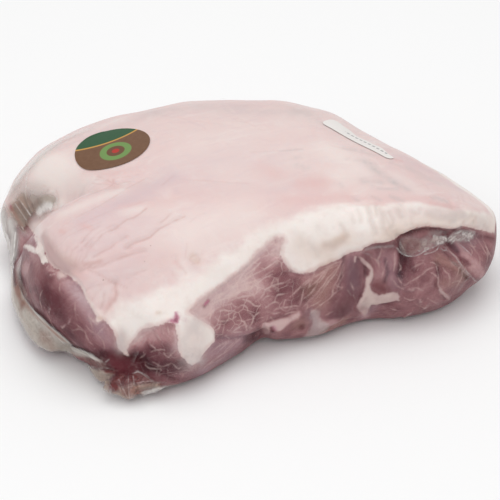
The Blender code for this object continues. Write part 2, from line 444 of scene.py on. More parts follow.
# %% Where the film stands off
TIGHT = 0.45
WIDE_GAP = 2.0
BACK_GAP = 5.0
BACK_BEARINGS = (math.radians(110), math.radians(150))
RIM_RISE = -0.05
RIM_SPREAD = 0.14
GAP_ROUNDS = 3
NORMAL_ROUNDS = 12
STAND_OFF = (
    ("left side", "5,215 6,250 6,285", 10, 2.4),
    ("left rim", "30,160 20,178 10,198", 8, 1.6),
    ("notch", "18,198 24,206 31,212 37,209", 9, 6.5),
    ("notch mouth", "10,205 20,215 27,224", 7, 4.5),
    ("flap", "12,300 20,322 34,340 50,350 64,350", 9, 2.6),
    ("flap to tail", "90,372 104,388 116,394 130,396 144,388", 8, 3),
    ("under the lip", "404,246 416,246 428,243 440,240 452,238", 5, 2.8),
    ("under the lip, right", "455,236 475,237 490,238", 5, 1.8),
)


def stand_off(points):
    """How far the meat lies under the film, in mm."""
    gap = np.full(len(points), TIGHT)
    for place, text, radius, depth in STAND_OFF:
        gap = np.maximum(gap, depth * brush(points, envelope, text, radius))
    side = unrolled(points)
    back = smoothstep(*BACK_BEARINGS, np.abs(side[:, 0]))
    rim = np.exp(-((side[:, 1] - RIM_RISE) / RIM_SPREAD) ** 2)
    return np.maximum(gap, BACK_GAP * back * rim)


lines = edges_of(meat)
gap = relaxed(stand_off(places(meat)), lines, GAP_ROUNDS)
soft_normals = relaxed(outward(meat), lines, NORMAL_ROUNDS)
soft_normals /= np.linalg.norm(soft_normals, axis=1)[:, None]
drawn_in = places(meat) - soft_normals * gap[:, None] * MM
put_places(meat, np.where((gap > WIDE_GAP)[:, None], relaxed(drawn_in, lines, 2), drawn_in))
print("meat drawn in by", gap.min().round(2), "to", gap.max().round(2), "mm")

# %% [markdown]
# The cut side shows seams, streaks and a crumbly edge of fat, so it needs finer squares than
# the plain skin. They are halved there, and also along the creases of the skin, whose lines
# are drawn here because they say where.

# %% Creases of the skin, and finer squares where the detail is
CREASES = (
    ("30,222 42,215 52,211 62,207 72,203 82,197 95,192 105,188 112,184 113,179", 0.9, 0.5),
    ("97,176 106,179 118,184", 0.8, 0.5), ("92,183 101,184 110,184", 0.7, 0.4),
    ("95,179 104,180 112,181", 0.7, 0.4), ("118,183 124,182 130,181", 0.7, 0.4),
    ("122,177 130,176 138,174", 0.6, 0.3), ("180,179 200,180 215,181 250,183", 0.7, 0.3),
    ("62,226 80,215 100,205 115,196 130,186 144,179", 0.6, 0.4),
    ("111,230 120,224 127,219 134,217 140,213 146,208", 0.9, 0.7),
    ("85,257 88,250 92,245 98,239 102,234 110,230 117,227", 0.9, 0.7),
    ("93,257 103,251 110,248 117,242 124,238", 0.9, 0.6), ("122,239 127,236", 2.0, 0.4),
    ("127,248 130,245 136,242 143,240 150,237 155,232 160,228 168,224 175,220 184,216", 0.9, 0.8),
    ("161,222 166,218 171,213", 1.0, 0.5), ("126,247 131,247", 1.8, 0.4),
    ("80,270 88,267 95,267 103,265 110,262 118,259 126,256 135,253 145,251", 1.0, 0.8),
    ("84,264 92,263 100,261", 2.2, 0.8), ("73,268 70,262 70,256 73,250 78,245 83,240", 0.7, 0.6),
    ("75,266 75,259 79,252 84,246 88,242", 0.7, 0.6), ("78,265 79,258 83,250 86,246", 0.7, 0.5),
    ("81,263 83,256 87,248 91,243", 0.7, 0.5), ("70,266 66,260 65,254 67,248", 0.7, 0.5),
    ("81,242 86,236 92,230 99,226", 0.6, 0.4), ("56,248 62,242 68,236 75,232 84,228 100,222", 0.6, 0.4),
    ("60,236 70,229 84,222 100,215 116,208", 0.6, 0.3), ("90,240 100,231 112,225", 0.5, 0.3),
    ("88,269 95,272 102,276 110,281 116,283", 1.2, 0.7), ("116,283 122,286 128,288", 0.7, 0.4),
    ("116,283 115,288 117,294 115,300 110,305 106,311 103,316 100,319", 1.6, 0.9),
    ("104,295 103,301 101,308", 1.3, 0.7), ("84,292 90,287 95,286 103,284 110,283", 0.7, 0.4),
    ("127,279 133,275 140,272 146,270", 0.8, 0.4), ("130,283 134,279", 0.8, 0.3),
    ("92,300 96,293 102,288", 0.5, 0.3), ("108,302 111,294 112,288", 0.5, 0.3),
    ("176,258 178,264 182,268 186,274", 0.9, 0.4), ("172,272 177,281", 0.7, 0.3),
    ("187,244 186,252 184,260", 0.6, 0.2), ("145,308 150,302 157,297 165,293", 0.7, 0.2),
    ("190,222 197,216 204,213", 0.6, 0.2), ("162,185 168,180 175,174", 1.4, 0.3),
    ("128,206 136,204 146,200 156,199", 0.8, 0.2),
    ("150,112 165,116 180,118 205,122 230,125", 0.8, 0.2), ("235,120 248,123 262,130", 0.8, 0.2),
    ("250,152 270,151 290,150 302,149", 0.8, 0.2), ("330,145 350,150 375,155", 0.7, 0.2),
    ("390,158 396,159 402,161", 0.6, 0.2), ("430,196 438,202 444,199 452,206 460,207", 0.8, 0.4),
    ("436,193 446,197 456,201 466,205", 0.7, 0.3), ("448,199 451,203 452,208", 0.8, 0.4),
    ("458,195 460,204", 0.7, 0.3), ("462,195 464,202", 0.7, 0.3), ("470,198 476,204", 0.8, 0.3),
    ("372,196 380,201", 0.8, 0.3), ("390,195 396,199 403,201", 0.9, 0.3), ("352,196 358,201", 0.7, 0.3),
    ("416,187 424,184 428,188", 0.7, 0.2),
    ("345,208 358,206 372,205 392,206 410,205 425,207 440,211 452,214", 1.0, 0.5),
    ("52,242 56,252 62,262", 0.7, 0.4), ("46,238 50,250 58,262 68,272", 0.8, 0.5),
    ("46,203 45,196 48,190", 1.2, 0.4), ("57,205 58,198 56,191", 1.4, 0.4),
    ("190,259 192,256 197,255 200,259 198,263 193,263 190,260", 0.5, 0.35),
)
CUT_BEARING = math.radians(74)
CUT_RISE = 0.30
CUT_RISE_LIP = 0.42
LIP_BEARINGS = (0.1, 0.6)
CUT_FOOT = 2.0
CREASE_REACH = 3.5
CREASE_STEP = 2.5
form = tree_of(meat)
crease_lines = [draw(form, text, CREASE_STEP) for text, width, down in CREASES]


def on_cut_side(centres):
    """The cut side, from the edge of the skin down to the table."""
    side = unrolled(centres)
    top = CUT_RISE + (CUT_RISE_LIP - CUT_RISE) * smoothstep(*LIP_BEARINGS, side[:, 0])
    in_front = np.abs(side[:, 0]) < CUT_BEARING
    return in_front & (side[:, 1] < top) & (centres[:, 2] > CUT_FOOT * MM)


def near_creases(centres, reach):
    """A narrow path along each crease of the skin, outside the cut side."""
    return near_lines(centres, crease_lines, reach) & ~on_cut_side(centres)


finer(meat, lambda centres: on_cut_side(centres) | near_creases(centres, CREASE_REACH))
form = tree_of(meat)
print("meat", len(meat.data.polygons), "faces")


def triangles(thing):
    """How many triangles a mesh comes to."""
    return sum(len(face.vertices) - 2 for face in thing.data.polygons)


# %% [markdown]
# Now the map of the meat. One line right round the form is where the white fat ends and the
# lean begins, and another is where the pink skin turns into fat. Both are drawn from the
# picture at the front and go on round the hidden sides, low along the back and half way up
# the right end, as on a real shoulder.

# %% Skin, fat and lean
FAT_EDGE = (
    "23,221 27,226 31,231 36,237 40,243 44,252 47,262 52,266 60,270 68,275 76,282 82,290 87,300 "
    "91,308 95,315 96,323 103,320 109,325 113,332 116,340 118,350 124,355 129,357 127,351 130,344 "
    "135,338 140,332 145,329 152,327 160,325 168,322 175,324 177,332 178,340 178,350 181,356 186,359 "
    "188,364 194,366 200,362 202,356 207,350 212,345 216,340 217,336 214,330 210,325 205,322 199,320 "
    "194,315 189,311 195,305 200,300 208,295 215,289 225,282 233,276 240,271 248,264 254,257 260,251 "
    "266,246 271,241 275,237 283,237 284,240 281,247 281,254 284,262 290,270 297,273 307,274 315,271 "
    "322,266 330,263 338,260 343,257 350,253 358,252 362,251 365,248 372,245 385,243 399,240 403,236 "
    "410,231 418,227 428,226 437,228 448,230 456,229 462,226 470,228 480,230 490,232 495,233")
SKIN_EDGE = (
    "24,219 28,224 33,231 37,237 41,243 45,252 48,261 53,265 61,269 69,274 78,281 84,289 89,299 "
    "96,309 104,314 112,307 118,301 130,300 145,297 160,290 180,280 200,268 215,258 228,250 240,242 "
    "250,235 262,228 275,222 290,217 305,212 320,208 340,206 360,204 380,204 400,203 420,203 440,207 "
    "455,210 470,211 485,213 492,216")
FAT_BEHIND = "78,66 90,60 100,50 115,36 130,24 150,14 170,12 190,12 210,12 228,12 240,20 246,33"
SKIN_BEHIND = "78,80 90,74 100,64 115,50 130,38 150,26 170,22 190,22 210,22 228,22 240,30 245,39"
DETAIL_MARGIN = 4.0
DETAIL_FOOT = 5.0
CREASE_REACH_FINE = 2.5
LINE_STEP = 2.0


def clinging(rows):
    """The same line in short even steps, each put back on the form, so that it cuts no corner."""
    dense = []
    for a, b in zip(rows[:-1], rows[1:]):
        pieces = max(1, int(np.linalg.norm(b - a) / (LINE_STEP * MM)))
        dense += [a + (b - a) * k / pieces for k in range(pieces)]
    dense.append(rows[-1])
    return np.array([tuple(form.find_nearest(Vector(row.tolist()))[0]) for row in dense])


def ring(front, behind):
    """A closed line right round the form, from the left end over the front to the back."""
    rows = np.vstack((draw(form, front, 2.0), round_the_side(form, behind)))
    return clinging(np.vstack((rows, rows[:1])))


fat_ring = ring(FAT_EDGE, FAT_BEHIND)
skin_ring = ring(SKIN_EDGE, SKIN_BEHIND)


def shows_detail(centres):
    """The lean of the cut side with the edge of the fat, and the creases once more."""
    lean_side = signed(centres, fat_ring) < DETAIL_MARGIN
    detail = on_cut_side(centres) & lean_side & (centres[:, 2] > DETAIL_FOOT * MM)
    return detail | near_creases(centres, CREASE_REACH_FINE)


finer(meat, shows_detail)
form = tree_of(meat)
points = places(meat)
fat = signed(points, fat_ring)
skin = signed(points, skin_ring)
print("meat", triangles(meat), "triangles, lean share", (fat < 0).mean().round(3))

# %% [markdown]
# Seams and islands of white fat lie between the muscles, and thin pale streaks run through
# them. A seam is a drawn line with a width, an island a closed outline. The distance to the
# nearest edge goes into one attribute, so the material can draw it crisp and slightly ragged,
# and a second attribute says where a seam is faint.

# %% White seams and pale streaks
SEAMS = (
    ("72,280 77,283", 1.6), ("437,266 440,278 438,285 442,290", 1.5), ("427,305 425,309", 1.8),
    ("411,313 408,315 405,317", 1.8), ("420,300 421,302", 1.4), ("355,257 355,261", 1.8),
    ("90,318 96,324", 2.0), ("48,271 53,270 57,272", 1.5), ("50,275 55,274", 1.0),
    ("65,325 69,322 70,319", 1.4), ("62,328 65,325", 1.8), ("50,309 49,313", 1.6),
    ("244,322 246,326 247,330", 1.4), ("408,290 413,290", 1.2), ("157,333 159,338 162,342", 1.2),
    ("149,342 151,346 155,348", 1.2),
)
ISLANDS = (
    "359,257 363,258 366,261 370,264 373,269 374,275 372,280 370,284 371,289 374,293 379,295 386,294 "
    "392,292 398,293 400,297 399,302 396,301 392,302 388,303 382,304 377,306 372,306 369,309 368,313 "
    "364,316 359,312 357,307 359,302 362,297 364,292 366,286 366,279 369,275 370,270 367,267 363,263",
    "22,245 25,244 30,245 34,247 38,250 41,254 40,256 36,254 32,252 28,251 24,248",
    "32,233 35,234 39,238 42,244 43,250 43,256 40,258 38,254 38,248 36,243 33,238",
    "40,256 44,255 47,259 45,263 42,264 40,261", "46,264 50,266 49,268 46,267",
    "56,271 60,269 63,272 67,275 64,277 60,279 57,276",
    "440,288 443,291 447,294 450,297 450,300 446,299 442,295 439,291",
    "274,261 277,259 280,260 279,262 276,264", "94,317 97,316 101,317 102,320 99,323 95,324",
)
STREAKS = (
    "214,301 222,295 229,290 240,286 251,283 262,279 273,274",
    "220,297 230,289 240,283 251,276 259,272 266,269", "216,299 226,291 236,284 243,276 249,268",
    "236,278 245,271 253,265 261,257 268,249", "226,296 236,293 246,290 252,287",
    "232,300 242,297 252,296 258,293", "244,276 254,270 262,262", "38,297 38,302 40,308 41,312",
    "42,290 39,295 38,299", "76,325 80,328 84,332", "90,320 92,330",
    "85,326 88,331 95,334 100,336 103,342 104,350", "72,331 78,329 82,331", "97,334 104,328",
    "75,303 74,312 76,320", "44,312 48,320 52,326", "60,283 58,292", "84,332 86,340 92,346",
    "162,329 164,334", "168,326 170,334", "138,340 142,336 148,333", "130,347 136,343 142,340",
    "152,362 156,364 161,368 166,366 172,364", "160,368 161,372", "163,353 166,358",
    "172,364 175,367 178,370 183,368", "144,366 148,370 153,369 160,370", "150,352 156,349 164,350",
    "139,358 145,354", "176,350 172,355 168,358", "130,366 136,370",
    "240,340 235,345 228,352 218,358 210,366 203,372", "235,345 245,340", "226,352 236,342",
    "212,352 222,346 232,341", "215,364 226,358", "222,350 230,344 238,341", "206,368 214,362 220,358",
    "209,303 214,299 219,296 224,294 228,291 233,288 237,286",
    "211,306 216,302 222,300 230,297 238,294", "244,292 250,289 256,285 262,280 268,275 273,271",
    "244,292 249,294 255,294 259,291 264,287", "266,308 271,305 275,302 279,303",
    "275,301 277,296 283,294 288,293", "291,297 297,291 303,285 309,280 314,277 315,271",
    "210,318 212,312 217,308 225,305 232,303", "212,313 216,318 220,321 224,322 230,320 236,317",
    "232,303 234,307 240,308 243,305 248,307 249,312", "238,321 243,321 246,325 247,331",
    "225,316 232,313 236,310", "233,332 238,328 244,325", "254,318 258,313 262,312",
    "279,307 287,308 297,307 301,309", "298,308 299,314 299,322", "285,315 291,314 299,312",
    "266,290 272,286 278,284 285,282 290,279", "253,262 248,268 242,274",
    "260,272 266,268 271,265 275,262", "262,282 266,290 262,298 256,302", "222,322 221,328 216,331",
    "249,312 254,316 253,324 248,330", "264,300 268,296 274,296", "268,312 275,314 282,312",
    "218,312 224,310 232,311", "256,270 250,277 244,282", "228,330 236,333 244,332",
    "262,308 256,306 250,301 243,300", "230,297 228,303", "286,300 284,306", "270,318 276,322",
    "344,261 337,263 330,266 323,268 316,270", "337,265 330,269 324,273 318,280 313,285 309,288",
    "336,270 332,274 328,279 325,284 322,288 317,293 313,297 309,301 307,305 304,308",
    "345,268 343,275", "342,262 339,268 336,270",
    "344,264 343,270 340,278 336,284 334,290 333,295 331,299 327,302",
    "327,302 323,305 317,309 312,313 310,316", "316,270 314,278 310,288", "300,300 300,308",
    "343,257 336,262 328,267 320,273 312,279 304,285 296,291",
    "341,266 334,276 328,284 322,292 316,299", "322,300 316,305 310,308", "345,275 341,282 338,290",
    "304,290 302,300 301,308", "333,295 338,292 344,290", "318,280 316,288 310,295 304,299",
    "308,303 309,308 306,313", "336,284 339,288 344,288", "330,266 326,274 320,282", "396,248 400,252",
    "382,250 381,256 377,263", "380,247 384,252", "395,255 396,262 394,270", "400,262 402,268 399,274",
    "372,258 378,262 380,268", "388,262 384,270 382,278", "352,284 354,290", "349,290 352,296",
    "354,296 356,300", "394,282 399,288 405,290", "398,276 400,282 404,286", "412,268 418,264 424,262",
    "405,287 412,282 420,277 428,270", "430,262 434,262 438,266", "432,272 436,276 439,280",
    "424,272 430,268 436,268", "409,290 416,288 424,292", "404,298 410,302 416,300",
    "428,300 434,304 440,306", "416,306 424,309 432,307", "390,310 398,312", "447,245 452,252 460,258",
    "470,240 476,250 484,262", "478,238 484,248 490,258", "484,240 489,249 493,256",
    "470,244 474,246 477,245", "470,246 474,250 472,254", "479,252 482,260 481,266",
    "486,246 489,252 489,262", "463,262 460,270 456,280", "448,272 452,280 450,288",
    "452,284 458,282 463,284", "444,268 446,272 450,274", "466,268 462,278 456,290", "326,316 334,312",
    "22,256 27,258 33,262", "30,230 29,238 31,244", "24,254 22,260 20,266", "18,262 22,268",
    "36,268 33,274 30,282", "42,262 46,266",
)
FAINT = (
    ("362,308 364,314", 4, 0.5), ("370,266 372,280", 3, 0.1), ("360,258 364,262", 4, 0.2),
    ("438,266 449,298", 6, 0.35), ("48,271 66,275", 6, 0.08), ("65,325 69,320", 5, 0.5),
    ("405,316 427,306", 9, 0.35), ("157,333 152,346", 6, 0.5), ("244,322 247,330", 4, 0.4),
    ("408,290 420,301", 7, 0.4), ("94,317 102,320", 5, 0.3), ("274,261 280,262", 4, 0.4),
)
SEAM_SHAKE = 0.2
STREAK_SHAKE = 0.5
STREAK_WIDTH = 1.05
STREAK_TAPER = 0.75
STROKE_STEP = 2.5
STROKE_REACH = 0.006
FAR_AWAY = 20.0


def nearest_edge(points, strokes, shake, taper=0.0):
    """Distance in mm to the edge of the nearest stroke. A taper narrows a stroke at its ends."""
    best = np.full(len(points), FAR_AWAY)
    for text, width in strokes:
        line = draw(form, text, STROKE_STEP, shake)
        ends = np.linspace(-1, 1, max(len(line) - 1, 1)) ** 2
        for a, b, end in zip(line[:-1], line[1:], ends):
            half = width * PIXEL / 2 * (1 - taper * end)
            away = distance(points, np.array((a, b)), STROKE_REACH) / MM
            best = np.minimum(best, away - half)
    return best


seam = nearest_edge(points, SEAMS, SEAM_SHAKE)
for text in ISLANDS:
    seam = np.minimum(seam, -patch(points, form, text))
streak = nearest_edge(points, [(text, STREAK_WIDTH) for text in STREAKS], STREAK_SHAKE,
                      STREAK_TAPER)
faint = np.zeros(len(points))
for text, radius, strength in FAINT:
    faint = np.maximum(faint, strength * brush(points, form, text, radius))
print("seam", (seam < 0).sum(), "streak", (streak < 0).sum(), "vertices")

# %% [markdown]
# The muscles differ in tone and in the way their fibres run. Each gets a few seed points, a
# fibre direction and a strength of marbling, and every vertex takes most from its nearest
# seed. The fibre direction goes into a vector attribute: a coordinate that is stretched along
# the fibres, so that one noise texture makes streaky flesh everywhere.

# %% Muscles and their fibres
MUSCLES = (
    ("round, left", "50,290 75,325 100,345 30,240 62,345", "44,296 92,346", 0.15),
    ("under the first tongue", "140,345 165,336", "150,330 160,346", 0.2),
    ("dark, low", "120,362 150,366 182,374", "140,364 185,372", 0.5),
    ("silver, low", "213,360 240,345 206,374", "206,370 242,343", 0.1),
    ("wedge, upper", "262,258 232,292 205,308", "212,306 258,270", 1.0),
    ("wedge, middle", "245,312 278,300 225,325 262,318", "222,316 262,292", 1.0),
    ("fan", "320,285 335,272 308,306 335,306", "304,312 338,264", 0.2),
    ("low bump", "290,330 306,325 276,331", "276,332 306,322", 0.1),
    ("dark, middle", "354,280 350,305 345,315", "352,310 356,262", 0.1),
    ("pale, middle", "376,266 374,275", "376,282 370,260", 0.1),
    ("blade side", "390,262 392,280", "388,290 394,250", 0.2),
    ("low, right", "385,312 400,312", "372,312 400,312", 0.2),
    ("big, right", "420,275 425,295 415,262", "410,305 432,262", 0.3),
    ("end, upper", "462,248 482,252 450,250", "455,244 488,270", 0.2),
    ("end, lower", "455,275 462,284 446,300", "446,262 458,292", 0.2),
)
HIDDEN_MUSCLES = (
    ("right end", "80,45 88,30 96,40", (0.2, 0.3, 1.0), 0.4),
    ("back, low", "120,8 160,5 200,5", (1.0, 0.2, 0.1), 0.4),
    ("left, low", "260,10 285,12", (0.4, 1.0, 0.1), 0.3),
)
UNDERSIDE = ((-0.09, -0.05), (0.0, 0.03), (0.09, 0.0), (-0.05, 0.09), (0.07, 0.09), (0.05, -0.07))
UNDERSIDE_FIBRE = (0.9, 0.35, 0.0)
UNDERSIDE_MARBLING = 0.5
FIBRE_STRETCH = 0.28
MUSCLE_BLEND = 5.0


def muscle_seeds():
    """Rows of seed place, fibre direction and marbling."""
    rows = []
    for name, seeds, fibre, marbling in MUSCLES:
        ends = draw(form, fibre, CORNERS_ONLY)
        for place in draw(form, seeds, CORNERS_ONLY):
            rows.append((place, ends[-1] - ends[0], marbling))
    for name, seeds, fibre, marbling in HIDDEN_MUSCLES:
        for place in round_the_side(form, seeds):
            rows.append((place, np.array(fibre), marbling))
    for x, y in UNDERSIDE:
        rows.append((np.array((x, y, 0.0)), np.array(UNDERSIDE_FIBRE), UNDERSIDE_MARBLING))
    return rows


seeds = muscle_seeds()
away = np.array([np.linalg.norm(points - place, axis=1) for place, fibre, marbling in seeds])
shares = np.exp((away.min(axis=0) - away) / (MUSCLE_BLEND * MM))
shares /= shares.sum(axis=0)
grain = np.zeros((len(points), 3))
net = np.zeros(len(points))
for share, (place, fibre, marbling) in zip(shares, seeds):
    fibre = fibre / np.linalg.norm(fibre)
    along = ((points - place) @ fibre)[:, None]
    grain += share[:, None] * (points + (FIBRE_STRETCH - 1) * along * fibre)
    net += share * marbling
print("muscles", len(MUSCLES) + len(HIDDEN_MUSCLES))

# %% [markdown]
# The tones are brushed on in soft strokes: darker or lighter flesh, lilac silver skin, brown
# where the surface has dried, crimson where blood has gathered, and grey where the skin is
# thin. Some strokes are painted light. Darker, brown and grey strokes are painted shade in the
# grooves between muscles, under the fat lip, on the low fat tongues and along the skin's edge at
# the left, and so are the shade strokes. The lilac and lighter tone on the round left muscle's
# upper right side are partly painted sheen, and a cream stroke along the ridge of the fat lip is
# a painted highlight. A stroke is a line, a radius in millimetres and a strength.

# %% Brush strokes of tone
# Narrow dark strokes along the grooves between muscles, along the fat lip's lower edge and in the
# hollow under it are painted shade; the lighter strokes on the round left muscle's upper right side are
# partly painted sheen.
TONES = (
    ("48,286 55,300 62,316 72,332", 9, -0.2), ("42,292 48,304 56,312", 6, -0.16),
    ("66,334 84,350 100,358", 5, -0.18), ("85,300 98,325 110,345", 9, 0.22), ("68,284 84,302", 6, 0.2),
    ("30,236 36,246", 7, 0.08), ("138,340 160,332 176,334", 7, 0.3),
    ("132,352 150,350 172,350", 7, 0.02), ("138,364 160,366 184,364", 8, -0.3),
    ("104,358 120,362 138,362", 7, -0.6), ("110,370 128,374", 6, -0.2), ("190,374 206,372", 7, 0.05),
    ("180,382 200,378", 4, -0.12), ("215,352 238,342", 7, 0.15), ("222,364 246,348", 4, -0.1),
    ("246,342 258,340", 3, -0.3), ("262,246 240,276 210,302 196,312", 9, 0.42),
    ("278,240 274,262", 7, 0.3), ("230,300 258,284", 9, 0.24), ("262,296 284,300 268,314", 11, 0.12),
    ("256,300 258,334", 4, -0.16), ("280,292 296,284", 5, -0.14), ("224,322 228,322", 2.2, -0.2),
    ("276,276 284,274", 3, -0.1), ("212,318 235,330 254,330", 8, 0.2), ("300,285 330,268", 8, 0.1),
    ("312,305 320,318", 7, 0.04), ("303,290 314,286 306,300", 3, -0.26), ("292,304 300,296", 3, -0.16),
    ("300,325", 6, 0.02), ("302,328", 2.4, -0.35), ("322,326 336,324", 4, 0.25),
    ("272,330 273,333", 2, -0.5), ("336,312 344,314", 4, -0.06), ("330,318 342,318", 3, -0.14),
    ("364,312 366,318", 3, 0.35), ("372,262 377,276", 3.5, 0.1), ("408,258 412,268", 4, -0.26),
    ("330,300 340,310", 6, -0.06), ("354,268 352,290 350,312", 8, -0.17), ("340,300 342,316", 6, -0.06),
    ("392,256 388,276", 6, 0.08), ("396,254 396,264", 2, 0.14), ("403,252 404,266 402,276", 3.6, -0.28),
    ("398,268 400,284", 4, -0.1), ("380,285 381,292", 3.6, -0.06), ("420,230 440,233 452,230", 5, 0.3),
    ("406,236 416,230 426,228", 4, -0.15), ("420,266 430,280 424,300", 12, 0.08),
    ("380,313 400,312", 6, -0.06), ("366,264 366,276", 3, -0.1), ("445,262 452,276", 7, 0.03),
    ("258,296 264,304", 8, 0.12), ("228,326 244,334", 7, -0.1), ("110,360 128,364", 5, -0.25),
    ("296,335 306,333", 4, 0.14), ("386,262 388,272 385,283", 1.6, -0.2), ("18,236 19,246", 4, 0.24),
    ("24,232 30,240", 5, 0.16), ("16,274 21,284", 3, -0.3), ("30,254 37,257", 4, 0.2),
    ("470,244 480,256", 8, 0.05), ("450,294 468,280", 7, -0.06), ("300,336 330,330 350,322", 4, -0.08),
    ("474,236 496,239", 3, -0.08), ("450,244 458,250", 3.6, -0.3),
    ("28,290 33,302 42,316 50,326", 6, -0.14), ("56,332 68,343", 5, -0.1), ("34,290 40,304", 4, -0.26),
    ("43,294 46,306", 4, -0.22), ("50,284 54,290", 4, 0.1), ("58,279 66,286 74,294", 5, 0.17),
    ("64,312 74,322 90,321", 5, 0.06), ("34,264 38,270", 4, 0.08), ("444,262 454,270", 4, -0.12),
    ("488,246 492,256", 4, -0.09), ("416,272 424,280", 5, -0.07), ("450,232 460,229", 3, 0.16),
    ("60,350 68,351", 3, 0.1), ("345,290 347,300", 5, 0.04), ("448,258 452,262", 4, 0.06),
    ("258,298 264,304", 5, 0.06), ("280,326 284,332", 4, 0.08), ("438,262 439,272", 2, -0.2),
    ("462,272 468,280", 2, -0.3), ("364,246 380,248 396,246", 3, -0.14), ("150,350 166,350", 5, -0.22),
    ("150,372 172,372", 5, -0.1), ("28,229 32,233", 3, 0.3), ("48,268 58,274", 4, 0.22),
)
TONE_PATCHES = (
    ("268,325 275,322 281,320 288,318 294,315 300,312 302,316 298,320 292,323 286,328 281,332 275,333 "
     "270,331", 2.0, 0.5),
    ("456,242 460,243 465,249 471,254 478,260 484,268 487,275 482,280 476,277 470,270 465,264 462,258 "
     "460,250", 2.2, 0.28),
    ("460,257 465,256 469,260 472,265 468,267 463,263", 2.0, -0.35),
    ("371,283 375,281 380,282 384,285 388,289 388,292 384,295 379,294 374,291 371,287", 1.6, 0.12),
    ("262,330 264,325 267,324 270,327 270,332 268,336 265,337 262,334", 1.2, 0.45),
    ("311,311 316,310 319,312 319,318 324,322 329,325 328,329 324,333 316,336 308,338 303,339 307,334 "
     "312,327 313,321 311,317", 1.6, 0.22),
    ("436,257 442,259 450,262 458,266 464,271 470,277 466,278 460,272 452,267 444,264 438,262",
     1.4, 0.14),
    ("355,254 361,255 366,262 369,268 366,280 364,292 360,302 352,300 346,290 346,276 349,262",
     2.0, -0.06),
    ("20,262 24,260 28,262 28,268 25,274 21,276 19,270", 1.6, 0.3),
)
# Lilac silver skin; the stroke on the round left muscle's upper right side is partly painted sheen on
# it.
LILACS = (
    ("75,285 88,305 98,325", 8, 0.8), ("100,335 110,345", 6, 0.5), ("212,350 240,342", 9, 0.8),
    ("205,372 230,358", 6, 0.6), ("192,376 206,372", 6, 0.3), ("352,262 354,285", 7, 0.4),
    ("388,262 394,285", 7, 0.45), ("364,318 374,308", 5, 0.6), ("311,314 317,330", 5, 0.5),
    ("326,328 338,324", 4, 0.3), ("262,246 240,276 214,300", 6, 0.35), ("460,246 478,238", 6, 0.4),
    ("28,234 36,242", 6, 0.4),
)
SKIN_LILACS = (
    ("84,220 110,208 140,192 172,178", 9, 0.7), ("60,236 90,226 120,216", 9, 0.25),
    ("84,250 110,240 140,226", 12, 0.4), ("90,276 112,280 140,262", 12, 0.35),
    ("170,172 220,160 280,158", 16, 0.35), ("200,190 250,186 300,184", 14, 0.3),
    ("400,158 430,172 456,188", 8, 0.5), ("120,206 150,196", 6, 0.4),
)
# Brown where the surface has dried; the strokes on the fat lip, the fat tongues and along the skin's
# edge at the left are painted shade.
BROWNS = (
    ("312,290 330,272 320,302", 8, 0.7), ("300,325", 7, 0.6), ("325,334 345,322", 5, 0.7),
    ("326,246 336,244 344,240", 5, 0.4), ("300,244 312,252 330,254", 7, 0.25),
    ("336,240 344,236", 3, 0.3), ("376,238 398,234", 5, 0.15), ("440,258 456,266 466,276", 5, 0.7),
    ("16,272 18,284 24,296", 3, 0.8), ("14,206 24,222", 5, 0.5), ("444,284 462,284", 5, 0.5),
    ("193,257 197,261", 3.4, 0.4), ("122,338 124,352", 5, 0.35), ("390,232 430,222 470,222", 8, 0.28),
    ("350,236 380,238 400,234", 5, 0.12), ("196,330 194,350", 8, 0.15), ("70,352 100,366", 4, 0.5),
    ("476,222 492,228", 7, 0.25), ("46,242 54,256 66,268", 4, 0.2), ("60,258 72,266", 5, 0.25),
    ("112,392 130,396 150,390", 7, 0.8), ("157,313 160,313", 1.4, 0.5), ("380,286 384,291", 4, 0.25),
    ("99,318 101,319", 2, 0.5),
)
CRIMSONS = (
    ("205,306 209,301", 1.6, 0.7), ("376,286 382,288 385,291", 4, 0.75),
    ("34,270 50,296 72,324 98,344", 12, 0.22), ("26,262 40,280", 6, 0.15), ("130,366 160,372", 8, 0.12),
    ("272,329 274,332", 1.9, 0.8), ("108,360 122,362 136,364", 6, 0.5), ("112,356 130,372", 6, 0.35),
    ("134,376 148,380", 4, 0.7), ("278,272 284,286", 5, 0.15), ("224,324 226,322", 2, 0.3),
    ("456,232 462,226", 2, 0.5), ("120,364 118,380", 5, 0.5), ("302,327 303,330", 1.8, 0.5),
    ("42,286 48,300", 7, 0.2), ("462,259 467,264", 3, 0.35), ("404,252 406,264", 4, 0.25),
    ("44,296 46,306", 4, 0.28), ("56,296 58,306", 5, 0.22), ("30,290 36,304", 5, 0.2),
    ("118,362 122,368", 6, 0.3), ("140,380 150,382", 4, 0.3),
)
STAINS = (
    ("176,313 177,318", 1.4, 0.6), ("172,321 177,322", 1.5, 0.5), ("176,320", 1.3, 0.6),
    ("180,316 186,320", 4, 0.22), ("10,206 12,209", 2, 0.7), ("274,328 276,331", 2.2, 0.4),
    ("206,304 209,301", 1.4, 0.6), ("168,321 174,319", 2.4, 0.3),
)
